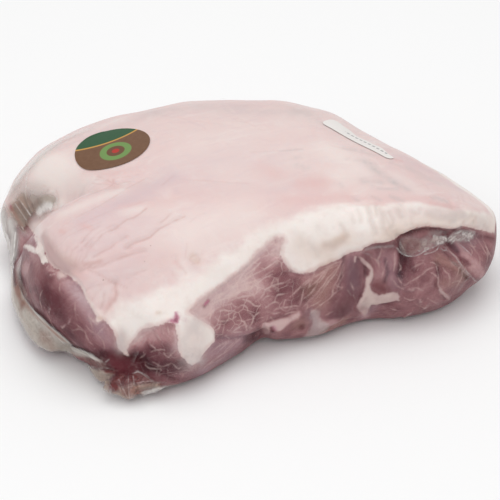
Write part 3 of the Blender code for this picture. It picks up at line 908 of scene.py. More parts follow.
# Grey where the skin is thin; the strokes on the low fat tongues, on the fat beside the wedge and under
# the ridge at the lip's right end are painted shade.
GREYS = (
    ("361,160 368,163 375,167", 3.2, 0.6), ("374,168 382,174 392,180", 4.6, 0.65),
    ("390,180 400,186 408,190", 3.4, 0.6), ("364,181 374,181 380,182", 3.6, 0.6),
    ("372,188 385,189 398,189", 2.2, 0.4), ("345,148 360,151 377,155", 3.0, 0.4),
    ("346,159 353,160", 1.4, 0.4), ("280,151 290,150 301,149", 1.6, 0.4), ("296,165 306,168", 2.4, 0.4),
    ("293,158 301,158", 1.3, 0.3), ("408,168 424,176 440,184", 4.5, 0.35), ("418,178 430,180", 2, 0.3),
    ("436,198 446,201", 4, 0.5), ("353,198 358,200", 2, 0.4), ("373,197 380,200", 2, 0.45),
    ("392,197 402,200", 2.4, 0.5), ("336,182 343,186", 2, 0.3), ("390,162 400,166", 2, 0.35),
    ("436,213 450,217 462,212", 4, 0.35), ("456,222 466,216", 2.4, 0.3),
    ("195,326 194,345 194,362", 9, 0.5), ("121,336 122,348", 5, 0.6), ("180,350 200,360", 7, 0.3),
    ("136,336 150,328", 4, 0.3), ("286,250 292,262", 6, 0.25), ("300,244 322,250 342,250", 6, 0.15),
    ("150,112 200,106 300,112", 14, 0.3), ("300,112 340,132", 9, 0.25), ("120,126 150,116", 8, 0.2),
)
# Cream patches of the skin; the narrow stroke along the ridge of the fat lip is a painted highlight.
CREAMS = (
    ("44,176 56,186", 16, 0.8), ("60,160 90,176", 14, 0.6), ("84,132 120,120", 10, 0.3),
    ("50,206 62,203", 4, 0.7), ("62,214 90,202 120,190", 5, 0.6), ("230,165 320,150", 30, 0.2),
    ("104,296 112,288", 6, 0.2), ("40,160 50,170", 10, 0.6), ("150,275 180,262", 14, 0.2),
    ("190,232 240,214", 18, 0.5), ("330,150 360,170 340,176", 12, 0.5),
    ("396,176 420,190 400,180", 8, 0.4), ("124,211 140,208", 5, 0.5),
    ("160,172 200,140 300,124", 16, 0.2), ("180,265 188,276", 5, 0.5),
    ("308,208 340,205 372,202", 2.4, 0.6), ("35,226 43,237", 5, 0.6),
)
ROSES = (
    ("304,183 322,182", 8, 0.6), ("262,168 276,174", 8, 0.4), ("108,182 116,188", 4, 0.5),
    ("86,171 112,174", 5, 0.5), ("62,262 76,270", 6, 0.5), ("70,270 84,276", 5, 0.3),
    ("84,264 100,261", 1.8, 0.5), ("112,300 104,314", 3, 0.4), ("92,300 98,314", 4, 0.2),
    ("150,262 170,256", 9, 0.25), ("120,172 140,170", 6, 0.25), ("286,200 316,200 345,196", 6, 0.5),
    ("390,158 402,161", 1.6, 0.6), ("432,203 450,206", 4, 0.6),
    ("345,207 372,205 405,205 430,208", 1.8, 0.6), ("210,196 260,200", 14, 0.2),
    ("82,225 90,228", 3, 0.5), ("60,231 64,232", 2, 0.6), ("120,208 140,203", 3, 0.4),
    ("116,284 116,296 108,308", 2.5, 0.4), ("350,202 400,198 430,198", 5, 0.3),
    ("104,256 140,250", 5, 0.2), ("150,204 190,196", 5, 0.25), ("176,262 180,268", 2.5, 0.4),
)
MILKY = (("26,246 37,251", 5, 0.8), ("35,234 46,258", 6, 0.75), ("48,256 40,265", 4, 0.75))
SHADES = (
    ("43,236 47,246 51,255 56,262 66,269", 4.5, 0.85), ("50,250 60,262 72,270", 7, 0.4),
    ("76,266 80,270", 3, 0.3), ("395,212 420,212 446,209", 7, 0.3), ("118,338 122,348", 5, 0.35),
    ("478,220 488,226", 5, 0.15), ("192,334 196,356", 7, 0.12),
)
DOTS = "187,157 116,218 209,208 133,229 145,261 103,280 221,248 151,246 271,172 258,176 169,187"
DOT_RADIUS = 0.75
DOTS_FAR = 9.0
MIDDLE_TONE = 0.5

tone = MIDDLE_TONE + brushed(points, form, TONES)
for text, soft, strength in TONE_PATCHES:
    tone += strength * smoothstep(-soft, soft, patch(points, form, text))
washes = {name: np.clip(brushed(points, form, strokes), 0, 1)
          for name, strokes in (("lilac", LILACS), ("brown", BROWNS), ("crimson", CRIMSONS),
                                ("grey", GREYS), ("cream", CREAMS), ("rose", ROSES),
                                ("stain", STAINS), ("skin_lilac", SKIN_LILACS),
                                ("shade", SHADES), ("milky", MILKY))}
dots = np.full(len(points), DOTS_FAR)
for place in draw(form, DOTS, CORNERS_ONLY):
    dots = np.minimum(dots, np.linalg.norm(points - place, axis=1) / MM - DOT_RADIUS)
print("tone from", tone.min().round(2), "to", tone.max().round(2))

# %% [markdown]
# The relief follows the same lines. The lean lies a little lower than the fat and the skin,
# muscles part along soft grooves, the fat lip has upright folds, and the hollow under the lip
# goes deep. All of it goes inwards, so nothing comes through the film.

# %% Relief of the meat
GROOVES = (
    ("23,222 28,228 34,233 40,244 46,260 54,268 66,275 78,284 87,300 95,318", 2.5, 1.6),
    ("96,324 104,322 112,332 118,347", 2.0, 0.9), ("118,352 128,360 140,362", 4.0, 2.5),
    ("104,358 122,364 136,366", 4.0, 3.0), ("128,372 150,370 176,382", 3.0, 1.5),
    ("130,376 140,358 148,336", 2.0, 0.4), ("217,337 235,340 250,338 262,334", 2.5, 1.8),
    ("186,360 190,367 200,364", 2.0, 0.9), ("262,338 266,326 272,322 290,318", 2.5, 1.6),
    ("275,238 281,246 282,258 290,271", 2.0, 1.0), ("290,272 307,276 330,265 345,257", 2.5, 1.2),
    ("345,258 343,275 340,292", 2.2, 1.4), ("359,258 366,268 367,280 363,292 357,306", 1.6, 1.0),
    ("402,244 403,258 400,276", 3.0, 3.2), ("386,260 388,272 385,284", 1.8, 1.2),
    ("400,303 386,305 372,306", 1.8, 1.0), ("437,262 439,278 436,286 446,300", 2.0, 1.2),
    ("445,250 455,262 468,278", 2.0, 1.4), ("350,253 372,247 398,242", 2.6, 1.0),
    ("404,238 425,232 450,236", 4.5, 4.6), ("415,232 440,233", 4.0, 1.4),
    ("456,233 475,235 494,237", 2.6, 1.2), ("310,312 314,322 310,334", 1.8, 1.2),
    ("322,334 345,322 360,320", 2.0, 0.8), ("177,327 178,345 186,360", 1.6, 0.7),
    ("376,290 386,292", 2.5, 0.5),
)
LIP_FOLDS = (
    ("358,210 361,216 361,222", 1.3, 0.7), ("369,208 371,214 372,221 374,227 376,234", 1.5, 1.6),
    ("376,205 377,211 377,216", 1.2, 1.0), ("380,209 383,214 384,222", 2.0, 1.2),
    ("384,214 388,220 391,227", 1.4, 1.2), ("389,212 393,219 394,226", 1.2, 1.0),
    ("399,209 402,216", 2.0, 1.2), ("402,205 403,210", 1.2, 0.7), ("384,228 388,233 393,239", 1.5, 1.4),
    ("391,230 395,235 398,238", 1.4, 1.4), ("396,231 399,236", 1.2, 1.0),
    ("341,225 345,232 347,237", 1.3, 0.8), ("413,210 416,214", 1.3, 0.7), ("421,207 419,213", 1.2, 0.7),
    ("430,215 440,219 452,218 462,212", 2.4, 1.0), ("452,223 460,219 466,215", 1.4, 1.0),
    ("464,223 470,217 473,215", 1.3, 1.0), ("474,223 476,217", 1.2, 0.8), ("405,218 406,225", 1.2, 0.5),
    ("412,217 412,224", 1.2, 0.5), ("352,214 354,222", 1.3, 0.4), ("326,246 334,247 344,242", 2.0, 1.0),
    ("308,243 314,248 318,256", 1.8, 0.7), ("484,226 488,230", 1.2, 0.6),
    ("292,232 300,236 304,244", 2.0, 0.5), ("318,228 326,234", 2.0, 0.5), ("184,340 186,350", 2.0, 0.5),
    ("202,352 198,360", 2.0, 0.5), ("122,330 122,342", 2.0, 0.5), ("128,338 124,350", 1.5, 0.4),
)
LEAN_STEP = 1.3
LEAN_STEP_FAT = (1.5, -2.5)
LEAN_STEP_SEAM = (0.0, 2.5)
LIP_SOFT = 1.5
GROOVE_SHADE = 0.10
GROOVE_SHADE_LIMIT = 2.0
CREASE_FAR = 0.012
CREASE_LINE = (0.55, 0.4)
CREASE_DIP = (1.6, 0.9)
CUT_ROUNDS = 4


def spread(width, across):
    """How far a crease of this width spreads: a share of its width and a little more."""
    return across[0] * width + across[1]


depth = LEAN_STEP * smoothstep(*LEAN_STEP_FAT, fat) * smoothstep(*LEAN_STEP_SEAM, seam)
valley = np.zeros(len(points))
for text, radius, down in GROOVES:
    mark = brush(points, form, text, radius)
    depth += down * mark
    tone -= GROOVE_SHADE * min(down, GROOVE_SHADE_LIMIT) * mark ** 3
for text, radius, down in LIP_FOLDS:
    mark = brush(points, form, text, LIP_SOFT * radius)
    depth += down * mark
    valley = np.maximum(valley, min(down, 1.0) * mark)
crease = np.zeros(len(points))
for line, (text, width, down) in zip(crease_lines, CREASES):
    away = distance(points, line, CREASE_FAR) / MM
    crease = np.maximum(crease, down * np.exp(-(away / spread(width, CREASE_LINE)) ** 2))
    depth += down * np.exp(-(away / spread(width, CREASE_DIP)) ** 2)
cut_normals = relaxed(outward(meat), edges_of(meat), CUT_ROUNDS)
cut_normals /= np.linalg.norm(cut_normals, axis=1)[:, None]
put_places(meat, points - cut_normals * depth[:, None] * MM)
print("relief", depth.min().round(2), "to", depth.max().round(2), "mm")

# %% [markdown]
# Everything that was drawn and brushed goes into the mesh as attributes, one number for each
# vertex. The skin fades into the fat softly at the left and more crisply at the right, so its
# distance is divided by a softness before it is kept.

# %% The map goes into the mesh
SKIN_SOFT_LEFT = 7.0
SKIN_SOFT_RIGHT = 2.6
SOFT_FROM_TO = (-0.03, 0.08)
SOFT_EDGES = (
    ("264,240 248,264 232,280 212,296 200,303", 6, 5.0), ("276,238 284,240", 4, 3.0),
    ("284,262 292,272 306,274", 4, 1.5), ("196,312 204,320", 3, 0.8), ("116,356 128,357", 3, 1.0),
    ("76,282 88,300 96,314", 3, 1.0),
)
CRISP_SKIN = ("28,224 40,240 50,258 70,273 88,296", 12, 4.0)
to_the_right = smoothstep(*SOFT_FROM_TO, points[:, 0])
softness = SKIN_SOFT_LEFT + (SKIN_SOFT_RIGHT - SKIN_SOFT_LEFT) * to_the_right
text, radius, times = CRISP_SKIN
softness /= 1 + times * brush(points, form, text, radius)
soft = 1 + brushed(points, form, SOFT_EDGES)
for name, values in (("fat", fat), ("skin", skin / softness), ("seam", seam),
                     ("streak", streak), ("net", net), ("tone", tone), ("dots", dots),
                     ("crease", crease), ("faint", faint), ("valley", valley), ("soft", soft),
                     *washes.items()):
    store(meat, name, values)
store_vector(meat, "grain", grain)
print("attributes", len(meat.data.attributes))

# %% [markdown]
# Materials are node trees. A small class keeps their writing short: it adds a node, links or
# sets its inputs, and gives back the output that the next node takes. Numbers that are the
# same all over a surface stay on the shader's own sockets.


# %% A writer for node materials
class Finish:
    """One material, written node by node."""

    def __init__(self, name, **numbers):
        self.material = bpy.data.materials.new(name)
        self.material.use_nodes = True
        self.tree = self.material.node_tree
        self.shader = self.tree.nodes["Principled BSDF"]
        for socket, value in numbers.items():
            self.shader.inputs[socket.replace("_", " ")].default_value = value
        self.place = self.add("ShaderNodeTexCoord", {}, "Object")

    def add(self, kind, inputs, output=0, **settings):
        """A node with its settings and inputs; gives back one of its outputs."""
        node = self.tree.nodes.new(kind)
        for name, value in settings.items():
            setattr(node, name, value)
        for name, value in inputs.items():
            self.feed(node.inputs[name], value)
        return node.outputs[output]

    def feed(self, socket, value):
        """Link a socket, or set its number."""
        if isinstance(value, bpy.types.NodeSocket):
            self.tree.links.new(value, socket)
        else:
            socket.default_value = value

    def attribute(self, name, output="Fac"):
        return self.add("ShaderNodeAttribute", {}, output, attribute_name=name)

    def noise(self, vector, scale, detail=2.0, rough=0.5, twist=0.0):
        return self.add("ShaderNodeTexNoise", {"Vector": vector, "Scale": scale, "Detail": detail,
                                               "Roughness": rough, "Distortion": twist}, "Fac")

    def maths(self, operation, a, b=0.0):
        return self.add("ShaderNodeMath", {0: a, 1: b}, operation=operation)

    def ramp(self, value, low, high, start=0.0, end=1.0):
        """A soft ramp from start at low to end at high."""
        return self.add("ShaderNodeMapRange", {"Value": value, "From Min": low, "From Max": high,
                                               "To Min": start, "To Max": end},
                        interpolation_type="SMOOTHSTEP")

    def wobble(self, value, vector, scale, amount, detail=2.0):
        """The value, moved up and down by noise."""
        shift = self.maths("MULTIPLY_ADD", self.noise(vector, scale, detail), amount)
        shift.node.inputs[2].default_value = -amount / 2
        return self.maths("ADD", value, shift)

    def mix(self, share, a, b):
        """Colour a turns into colour b."""
        a = a if isinstance(a, bpy.types.NodeSocket) else (*a, 1.0)
        b = b if isinstance(b, bpy.types.NodeSocket) else (*b, 1.0)
        return self.add("ShaderNodeMix", {0: share, 6: a, 7: b}, 2, data_type="RGBA")

    def colours(self, value, stops):
        """A colour ramp through (place, colour) stops."""
        output = self.add("ShaderNodeValToRGB", {"Fac": value}, "Color")
        elements = output.node.color_ramp.elements
        for place, colour in stops[2:]:
            elements.new(place)
        for element, (place, colour) in zip(elements, stops):
            element.position = place
            element.color = (*colour, 1.0)
        return output

    def bump(self, height, distance, strength=1.0):
        """Fine relief from a height, into the shader's normal and its coat's."""
        normal = self.add("ShaderNodeBump", {"Height": height, "Distance": distance,
                                             "Strength": strength}, "Normal")
        self.tree.links.new(normal, self.shader.inputs["Normal"])
        self.tree.links.new(normal, self.shader.inputs["Coat Normal"])


# %% [markdown]
# The flesh is one material in three layers. Lean is a ramp of wine reds by tone, with streaky
# noise along the fibres, a pale net of marbling and drawn streaks. Fat lies over it with a
# ragged edge, and skin over that with a soft one. A thin clear coat stands for the film where
# it clings, which is nearly everywhere.

# %% Flesh: skin, fat and lean
LEAN_RAMP = (
    (0.0, (0.040, 0.007, 0.012)), (0.2, (0.092, 0.024, 0.032)), (0.4, (0.180, 0.068, 0.078)),
    (0.6, (0.300, 0.137, 0.146)), (0.8, (0.440, 0.248, 0.252)), (1.0, (0.600, 0.420, 0.410)),
)
LILAC = (0.350, 0.235, 0.275)
DRIED = (0.380, 0.220, 0.170)
DRIED_BROWN_AND_SHADE = (0.600, 0.430, 0.340)
CRIMSON = (0.120, 0.014, 0.022)
MARBLE = (0.550, 0.375, 0.350)
MARBLE_PALE = (0.680, 0.520, 0.485)
FAT_COLOUR = (0.795, 0.705, 0.662)
FAT_PALE = (0.850, 0.780, 0.742)
FAT_ROSE = (0.640, 0.440, 0.420)
SEAM_COLOUR = (0.620, 0.490, 0.455)
SEAM_EDGE = (0.480, 0.330, 0.320)
SKIN_COLOUR = (0.730, 0.575, 0.552)
SKIN_ROSE = (0.710, 0.520, 0.508)
SKIN_CREASE_SHADE = (0.560, 0.350, 0.325)
SKIN_GREY_AND_SHADE = (0.555, 0.480, 0.470)
SKIN_PALE = (0.765, 0.645, 0.622)
SKIN_LILAC = (0.640, 0.490, 0.500)
SKIN_CREAM = (0.795, 0.700, 0.665)
SKIN_BLUSH = (0.690, 0.450, 0.430)
FAT_SHADE = (0.690, 0.590, 0.550)
FAT_FOLD_SHADE = (0.560, 0.450, 0.405)
MAGENTA = (0.470, 0.170, 0.250)
STAIN_HEART = (0.260, 0.060, 0.110)
SKIN_SHADE = (0.500, 0.350, 0.340)
PORE = (0.300, 0.190, 0.150)
SCATTER = (1.0, 0.45, 0.35)
NET_BEND = (0.012, 0.012, 0.012)

flesh = Finish("flesh", Roughness=0.45, Coat_Weight=0.12, Coat_Roughness=0.14,
               Specular_IOR_Level=0.18, Subsurface_Weight=0.12, Subsurface_Scale=0.004,
               Subsurface_Radius=SCATTER)
obj = flesh.place
grain_of = flesh.attribute("grain", "Vector")
fibre_noise = flesh.noise(grain_of, 150.0, 4.0, 0.6)
fine_fibre = flesh.noise(grain_of, 620.0, 3.0, 0.6)
tone_now = flesh.attribute("tone")
for vector, scale, amount, detail in ((grain_of, 110.0, 0.34, 4.0), (grain_of, 520.0, 0.2, 3.0),
                                      (obj, 45.0, 0.3, 3.0)):
    tone_now = flesh.wobble(tone_now, vector, scale, amount, detail)
haze = flesh.ramp(flesh.wobble(flesh.attribute("fat"), obj, 200.0, 5.0, 3.0), -4.5, 0.5, 0.0, 0.25)
tone_now = flesh.maths("ADD", tone_now, haze)
lean = flesh.colours(tone_now, LEAN_RAMP)
for name, share, colour in (("lilac", 0.6, LILAC), ("brown", 0.5, DRIED)):
    lean = flesh.mix(flesh.maths("MULTIPLY", flesh.attribute(name), share), lean, colour)

# The net of marbling: the edges of cells that noise bends.
bent = flesh.add("ShaderNodeVectorMath", {0: flesh.add("ShaderNodeTexNoise", {
    "Vector": obj, "Scale": 90.0, "Detail": 2.0}, "Color"), 1: NET_BEND}, operation="MULTIPLY")
less_drawn = flesh.add("ShaderNodeVectorMath", {0: grain_of, 1: obj}, operation="ADD")
bent = flesh.add("ShaderNodeVectorMath", {0: less_drawn, 1: bent}, operation="ADD")
cells = flesh.add("ShaderNodeTexVoronoi", {"Vector": bent, "Scale": 62.0}, "Distance",
                  feature="DISTANCE_TO_EDGE")
net_line = flesh.ramp(cells, 0.010, 0.070, 1.0, 0.0)
net_line = flesh.maths("MULTIPLY", net_line, flesh.ramp(flesh.noise(obj, 110.0, 2.0), 0.36, 0.58))
net_line = flesh.maths("MULTIPLY", net_line, flesh.attribute("net"))
lean = flesh.mix(flesh.maths("MULTIPLY", net_line, 0.35), lean, MARBLE_PALE)
fleck = flesh.ramp(flesh.noise(grain_of, 700.0, 1.0), 0.66, 0.78, 0.0, 0.3)
lean = flesh.mix(fleck, lean, MARBLE)
streak_edge = flesh.wobble(flesh.attribute("streak"), obj, 420.0, 0.8)
broken = flesh.ramp(flesh.noise(obj, 160.0), 0.35, 0.6, 0.4, 1.0)
streak_line = flesh.maths("MULTIPLY", flesh.ramp(streak_edge, -0.5, 0.9, 0.55, 0.0), broken)
lean = flesh.mix(streak_line, lean, flesh.mix(flesh.attribute("net"), MARBLE, MARBLE_PALE))
lean = flesh.mix(flesh.maths("MULTIPLY", flesh.attribute("crimson"), 0.85), lean, CRIMSON)

# The fat and the seams: ragged edges, then the colours.
fat_edge = flesh.wobble(flesh.attribute("fat"), obj, 150.0, 3.0, 2.0)
fat_edge = flesh.wobble(fat_edge, obj, 600.0, 2.0, 3.0)
fat_edge = flesh.maths("DIVIDE", fat_edge, flesh.attribute("soft"))
seam_edge = flesh.wobble(flesh.attribute("seam"), obj, 150.0, 2.4, 2.0)
seam_edge = flesh.wobble(seam_edge, obj, 500.0, 2.0, 3.0)
fat_colour = flesh.mix(flesh.ramp(flesh.noise(obj, 38.0, 4.0, 0.6), 0.3, 0.7), FAT_COLOUR, FAT_PALE)
fat_shade = flesh.ramp(flesh.noise(obj, 130.0, 4.0, 0.6), 0.5, 0.75, 0.0, 0.35)
fat_colour = flesh.mix(fat_shade, fat_colour, FAT_SHADE)
fat_blush = flesh.wobble(flesh.attribute("fat"), obj, 150.0, 5.0)
fat_colour = flesh.mix(flesh.ramp(fat_blush, 0.0, 4.0, 0.55, 0.0), fat_colour, FAT_ROSE)
# Brown on the fat: dried fat, and painted shade on the lip and the tongues.
fat_colour = flesh.mix(flesh.attribute("brown"), fat_colour, DRIED_BROWN_AND_SHADE)
# Painted shade: the valleys of the lip's folds are darker.
fold_shade = flesh.maths("MULTIPLY", flesh.attribute("valley"), 0.4)
fat_colour = flesh.mix(fold_shade, fat_colour, FAT_FOLD_SHADE)
fat_colour = flesh.mix(flesh.attribute("shade"), fat_colour, SKIN_SHADE)
seam_colour = flesh.mix(flesh.ramp(flesh.attribute("seam"), -2.0, 0.2), SEAM_COLOUR, SEAM_EDGE)
seam_blotch = flesh.ramp(flesh.noise(obj, 120.0, 3.0), 0.45, 0.7, 0.0, 0.6)
seam_colour = flesh.mix(seam_blotch, seam_colour, SEAM_EDGE)
seam_colour = flesh.mix(flesh.attribute("milky"), seam_colour, FAT_COLOUR)

# The skin: blotches and streaks of noise, then what was brushed on, then painted shade in the creases.
LENGTHWISE = (0.25, 1.0, 1.0)
lengthwise = flesh.add("ShaderNodeVectorMath", {0: obj, 1: LENGTHWISE}, operation="MULTIPLY")
skin_colour = SKIN_COLOUR
for vector, scale, detail, rough, twist, low, high, most, colour in (
        (obj, 14.0, 4.0, 0.55, 0.0, 0.38, 0.66, 0.7, SKIN_ROSE),
        (obj, 75.0, 4.0, 0.65, 0.8, 0.48, 0.72, 0.45, SKIN_PALE),
        (obj, 34.0, 5.0, 0.6, 1.6, 0.56, 0.66, 0.3, SKIN_LILAC),
        (lengthwise, 150.0, 4.0, 0.6, 0.6, 0.5, 0.7, 0.3, SKIN_LILAC),
        (lengthwise, 90.0, 4.0, 0.6, 0.4, 0.52, 0.72, 0.35, SKIN_CREAM)):
    blotch = flesh.ramp(flesh.noise(vector, scale, detail, rough, twist), low, high, 0.0, most)
    skin_colour = flesh.mix(blotch, skin_colour, colour)
# Cream includes the painted highlight along the lip's ridge.
for name, colour in (("skin_lilac", SKIN_LILAC), ("cream", SKIN_CREAM), ("rose", SKIN_BLUSH)):
    skin_colour = flesh.mix(flesh.attribute(name), skin_colour, colour)
# Painted shade: the creases of the skin are darker and redder.
crease_shade_line = flesh.maths("MULTIPLY", flesh.attribute("crease"), flesh.ramp(
    flesh.noise(obj, 90.0, 3.0), 0.35, 0.6, 0.25, 0.75))
# Over the skin: brown that is partly dried and partly painted shade at the left edge, then the painted
# shade strokes.
for share, colour in ((crease_shade_line, SKIN_CREASE_SHADE), (flesh.attribute("brown"), DRIED_BROWN_AND_SHADE),
                      (flesh.attribute("shade"), SKIN_SHADE)):
    skin_colour = flesh.mix(share, skin_colour, colour)

# Lean, seams, fat and skin over each other, then greys, stains and pores over all of them.
seam_share = flesh.maths("MULTIPLY", flesh.ramp(seam_edge, -0.9, 0.7, 0.92, 0.0),
                         flesh.maths("SUBTRACT", 1.0, flesh.attribute("faint")))
meat_colour = flesh.mix(seam_share, lean, seam_colour)
meat_colour = flesh.mix(flesh.ramp(fat_edge, -0.45, 0.45), meat_colour, fat_colour)
skin_edge = flesh.wobble(flesh.attribute("skin"), obj, 60.0, 3.0, 3.0)
meat_colour = flesh.mix(flesh.ramp(skin_edge, -1.0, 1.0), meat_colour, skin_colour)
# Grey of thin skin, and painted shade on the fat tongues and under the lip's ridge.
grey_and_shade_now = flesh.maths("MULTIPLY", flesh.attribute("grey"), flesh.ramp(
    flesh.noise(obj, 70.0, 4.0, 0.6), 0.35, 0.6, 0.45, 1.15))
meat_colour = flesh.mix(grey_and_shade_now, meat_colour, SKIN_GREY_AND_SHADE)
stain_now = flesh.wobble(flesh.attribute("stain"), obj, 500.0, 0.3, 2.0)
meat_colour = flesh.mix(flesh.ramp(stain_now, 0.08, 0.7, 0.0, 0.85), meat_colour, MAGENTA)
meat_colour = flesh.mix(flesh.ramp(stain_now, 0.6, 1.1, 0.0, 0.85), meat_colour, STAIN_HEART)
meat_colour = flesh.mix(flesh.ramp(flesh.attribute("dots"), -0.4, 0.4, 0.75, 0.0), meat_colour, PORE)
flesh.feed(flesh.shader.inputs["Base Color"], meat_colour)

# Fine relief: fibres where the lean is, and a faint unevenness all over.
height = flesh.maths("ADD", flesh.maths("MULTIPLY", fibre_noise, 0.9),
                     flesh.maths("MULTIPLY", fine_fibre, 0.35))
height = flesh.maths("MULTIPLY", height, flesh.ramp(flesh.attribute("fat"), -1.0, 1.5, 1.0, 0.0))
uneven = flesh.maths("MULTIPLY", flesh.noise(obj, 75.0, 4.0, 0.65, 0.8), 0.5)
height = flesh.maths("ADD", height, uneven)
flesh.bump(height, 1.1 * MM, 0.7)
meat.data.materials.append(flesh.material)
print("flesh nodes", len(flesh.tree.nodes))

# %% [markdown]
# The bag itself is a second skin. Its film is a closed shell with the form of the CAD solid.
# Folds are drawn on it as lines that rise a little and turn whitish, and fans of pleats run
# where it is gathered: over the notch, down the left side and into the tail. The whitish folds
# are partly the milky look of creased film and partly painted highlight, and dark valleys
# between pleats are painted shade. How much it veils what is under it is an attribute, since
# clear film only shows where it is slack, folded or seen edge on.

# %% Folds and pleats of the film
# Whitish fold lines: partly milky creased film, partly painted highlight along each fold.
FOLDS = (
    ("424,252 427,249 433,247 438,245 438,249 433,252 425,253", 0.8, 0.6, 0.3),
    ("438,245 443,246 447,250 444,251 440,248", 0.7, 0.5, 0.22),
    ("447,250 453,255 457,260 462,266 467,272 472,278 476,281", 0.9, 0.8, 0.22),
    ("397,248 401,254 408,256 415,256 420,254 424,251", 0.8, 0.7, 0.28),
    ("362,252 370,254 376,258 380,262", 0.8, 0.4, 0.1),
    ("362,252 370,248 380,246 390,247", 0.8, 0.4, 0.06), ("400,243 404,248 405,254", 0.8, 0.4, 0.15),
    ("407,238 411,246 420,251", 0.8, 0.4, 0.2), ("436,236 438,243", 0.8, 0.4, 0.2),
    ("434,235 446,237 446,243", 0.9, 0.4, 0.15), ("448,242 454,236 461,231", 0.9, 0.5, 0.15),
    ("451,244 457,238 464,233", 0.9, 0.5, 0.15), ("458,243 464,249 470,254", 1.0, 0.5, 0.2),
    ("468,240 472,245 476,244", 0.8, 0.4, 0.15),
    ("139,345 133,358 128,369 121,378 113,384", 1.2, 0.8, 0.06),
    ("146,338 138,354 132,366", 0.7, 0.4, 0.12), ("146,331 140,341 134,351", 0.7, 0.4, 0.1),
    ("90,365 100,368 108,368 115,370", 0.7, 0.6, 0.26),
    ("132,373 138,371 145,374 153,380", 0.7, 0.5, 0.14),
    ("136,384 150,381 162,383 180,384", 0.7, 0.5, 0.22), ("162,386 174,386 186,383", 0.7, 0.4, 0.14),
    ("128,372 128,384 130,398", 0.8, 0.5, 0.15), ("133,376 134,388 136,396", 0.8, 0.5, 0.18),
    ("119,380 124,390 127,397", 0.8, 0.5, 0.15), ("106,362 109,359", 0.8, 0.4, 0.3),
    ("72,349 86,354 98,360", 1.2, 0.5, 0.08), ("112,372 104,374 98,372", 0.8, 0.4, 0.06),
    ("26,268 24,278 28,292 34,308", 0.9, 0.6, 0.1), ("16,232 15,244 14,256 12,264", 1.0, 0.7, 0.35),
    ("5,202 8,209 13,216", 0.8, 0.6, 0.35), ("22,262 30,256 40,250", 0.8, 0.5, 0.08),
    ("18,240 16,252", 0.8, 0.4, 0.12), ("30,303 40,318 52,332 66,345", 0.9, 0.6, 0.14),
    ("23,292 28,302 34,311 44,322", 0.7, 0.5, 0.12), ("43,336 52,337", 0.7, 0.4, 0.1),
    ("6,222 8,240 11,258", 0.8, 0.5, 0.12), ("30,168 27,178 26,188", 1.4, 0.5, 0.2),
    ("40,150 52,144 66,138", 0.8, 0.4, 0.12), ("12,213 18,221 24,229", 0.9, 0.7, 0.22),
    ("16,203 22,213 28,223", 1.0, 0.7, 0.16), ("20,199 26,208 31,216", 1.0, 0.7, 0.28),
    ("25,192 29,203 33,213", 1.2, 0.7, 0.16), ("31,191 33,200 35,208", 1.2, 0.6, 0.08),
)
# Valleys between pleats and along tucks: a dark tint of the film that is painted shade.
VALLEYS = (
    ("25,224 20,216 15,208", 1.5, 0.22), ("28,220 23,210 20,204", 1.5, 0.3),
    ("32,214 28,206 25,198", 2.0, 0.35), ("36,208 34,202 32,196", 2.4, 0.3),
    ("41,203 39,198", 3.4, 0.25), ("23,231 15,220 10,212", 1.0, 0.3), ("45,337 49,338", 1.0, 0.25),
    ("46,342 47,349", 1.2, 0.2), ("50,341 52,347", 1.2, 0.2), ("86,359 96,364 108,368", 1.5, 0.5),
    ("64,343 76,350 88,355 94,358", 1.2, 0.2), ("136,389 150,387 160,386 176,385", 0.9, 0.45),
    ("126,386 128,396", 1.0, 0.25), ("134,392 140,394", 1.0, 0.2), ("118,390 123,396", 1.0, 0.2),
    ("22,284 26,294 31,305", 1.2, 0.15), ("14,268 18,280 24,292", 1.4, 0.15),
    ("66,348 74,353", 1.0, 0.25), ("17,274 21,283 26,294", 1.6, 0.5),
    ("430,234 435,233 440,233", 1.8, 0.3), ("404,246 404,252", 1.2, 0.3),
    ("402,250 406,254", 1.2, 0.25), ("404,241 412,240 420,241", 1.2, 0.15),
    ("410,243 422,244", 1.0, 0.12), ("366,249 378,247 392,246", 1.3, 0.25),
    ("457,229 462,226", 1.0, 0.35), ("445,233 452,229", 1.4, 0.12),
    ("470,276 462,285 458,292", 1.0, 0.25), ("452,262 460,267 468,275", 1.0, 0.2),
)

FANS = (
    ("14,186 24,170 42,153", "20,188 32,170 50,155", 3, 1.2, 0.5, 0.06),
    ("56,144 80,134 100,127", "60,150 82,140 102,132", 2, 1.2, 0.6, 0.06),
    ("7,212 5,240 9,268", "14,232 11,250 11,268", 3, 0.8, 0.6, 0.08),
    ("104,378 108,386 113,394", "148,384 150,388 150,393", 5, 0.9, 0.6, 0.06),
    ("14,300 22,318 38,338", "26,314 34,326 48,340", 2, 1.2, 0.6, 0.04),
)
HIDDEN_FANS = (
    (100, 175, 15, 88, 22, 1.8, 1.0, 0.06), (-175, -118, 12, 70, 18, 1.8, 1.0, 0.06),
    (76, 100, 15, 75, 8, 1.8, 0.9, 0.06),
)
FOLD_SEED = 7
FOLD_SHAKE = 0.4
PLEAT_LEAN = 9
PLEAT_FOOT = 18
PLEAT_TOP = 30


def between(first, last, count):
    """Lines that pass in even steps from the first to the last."""
    a, b = numbers(first), numbers(last)
    rows = []
    for k in range(count):
        share = k / (count - 1)
        rows.append(" ".join(f"{x:.1f},{y:.1f}" for x, y in a + (b - a) * share))
    return rows


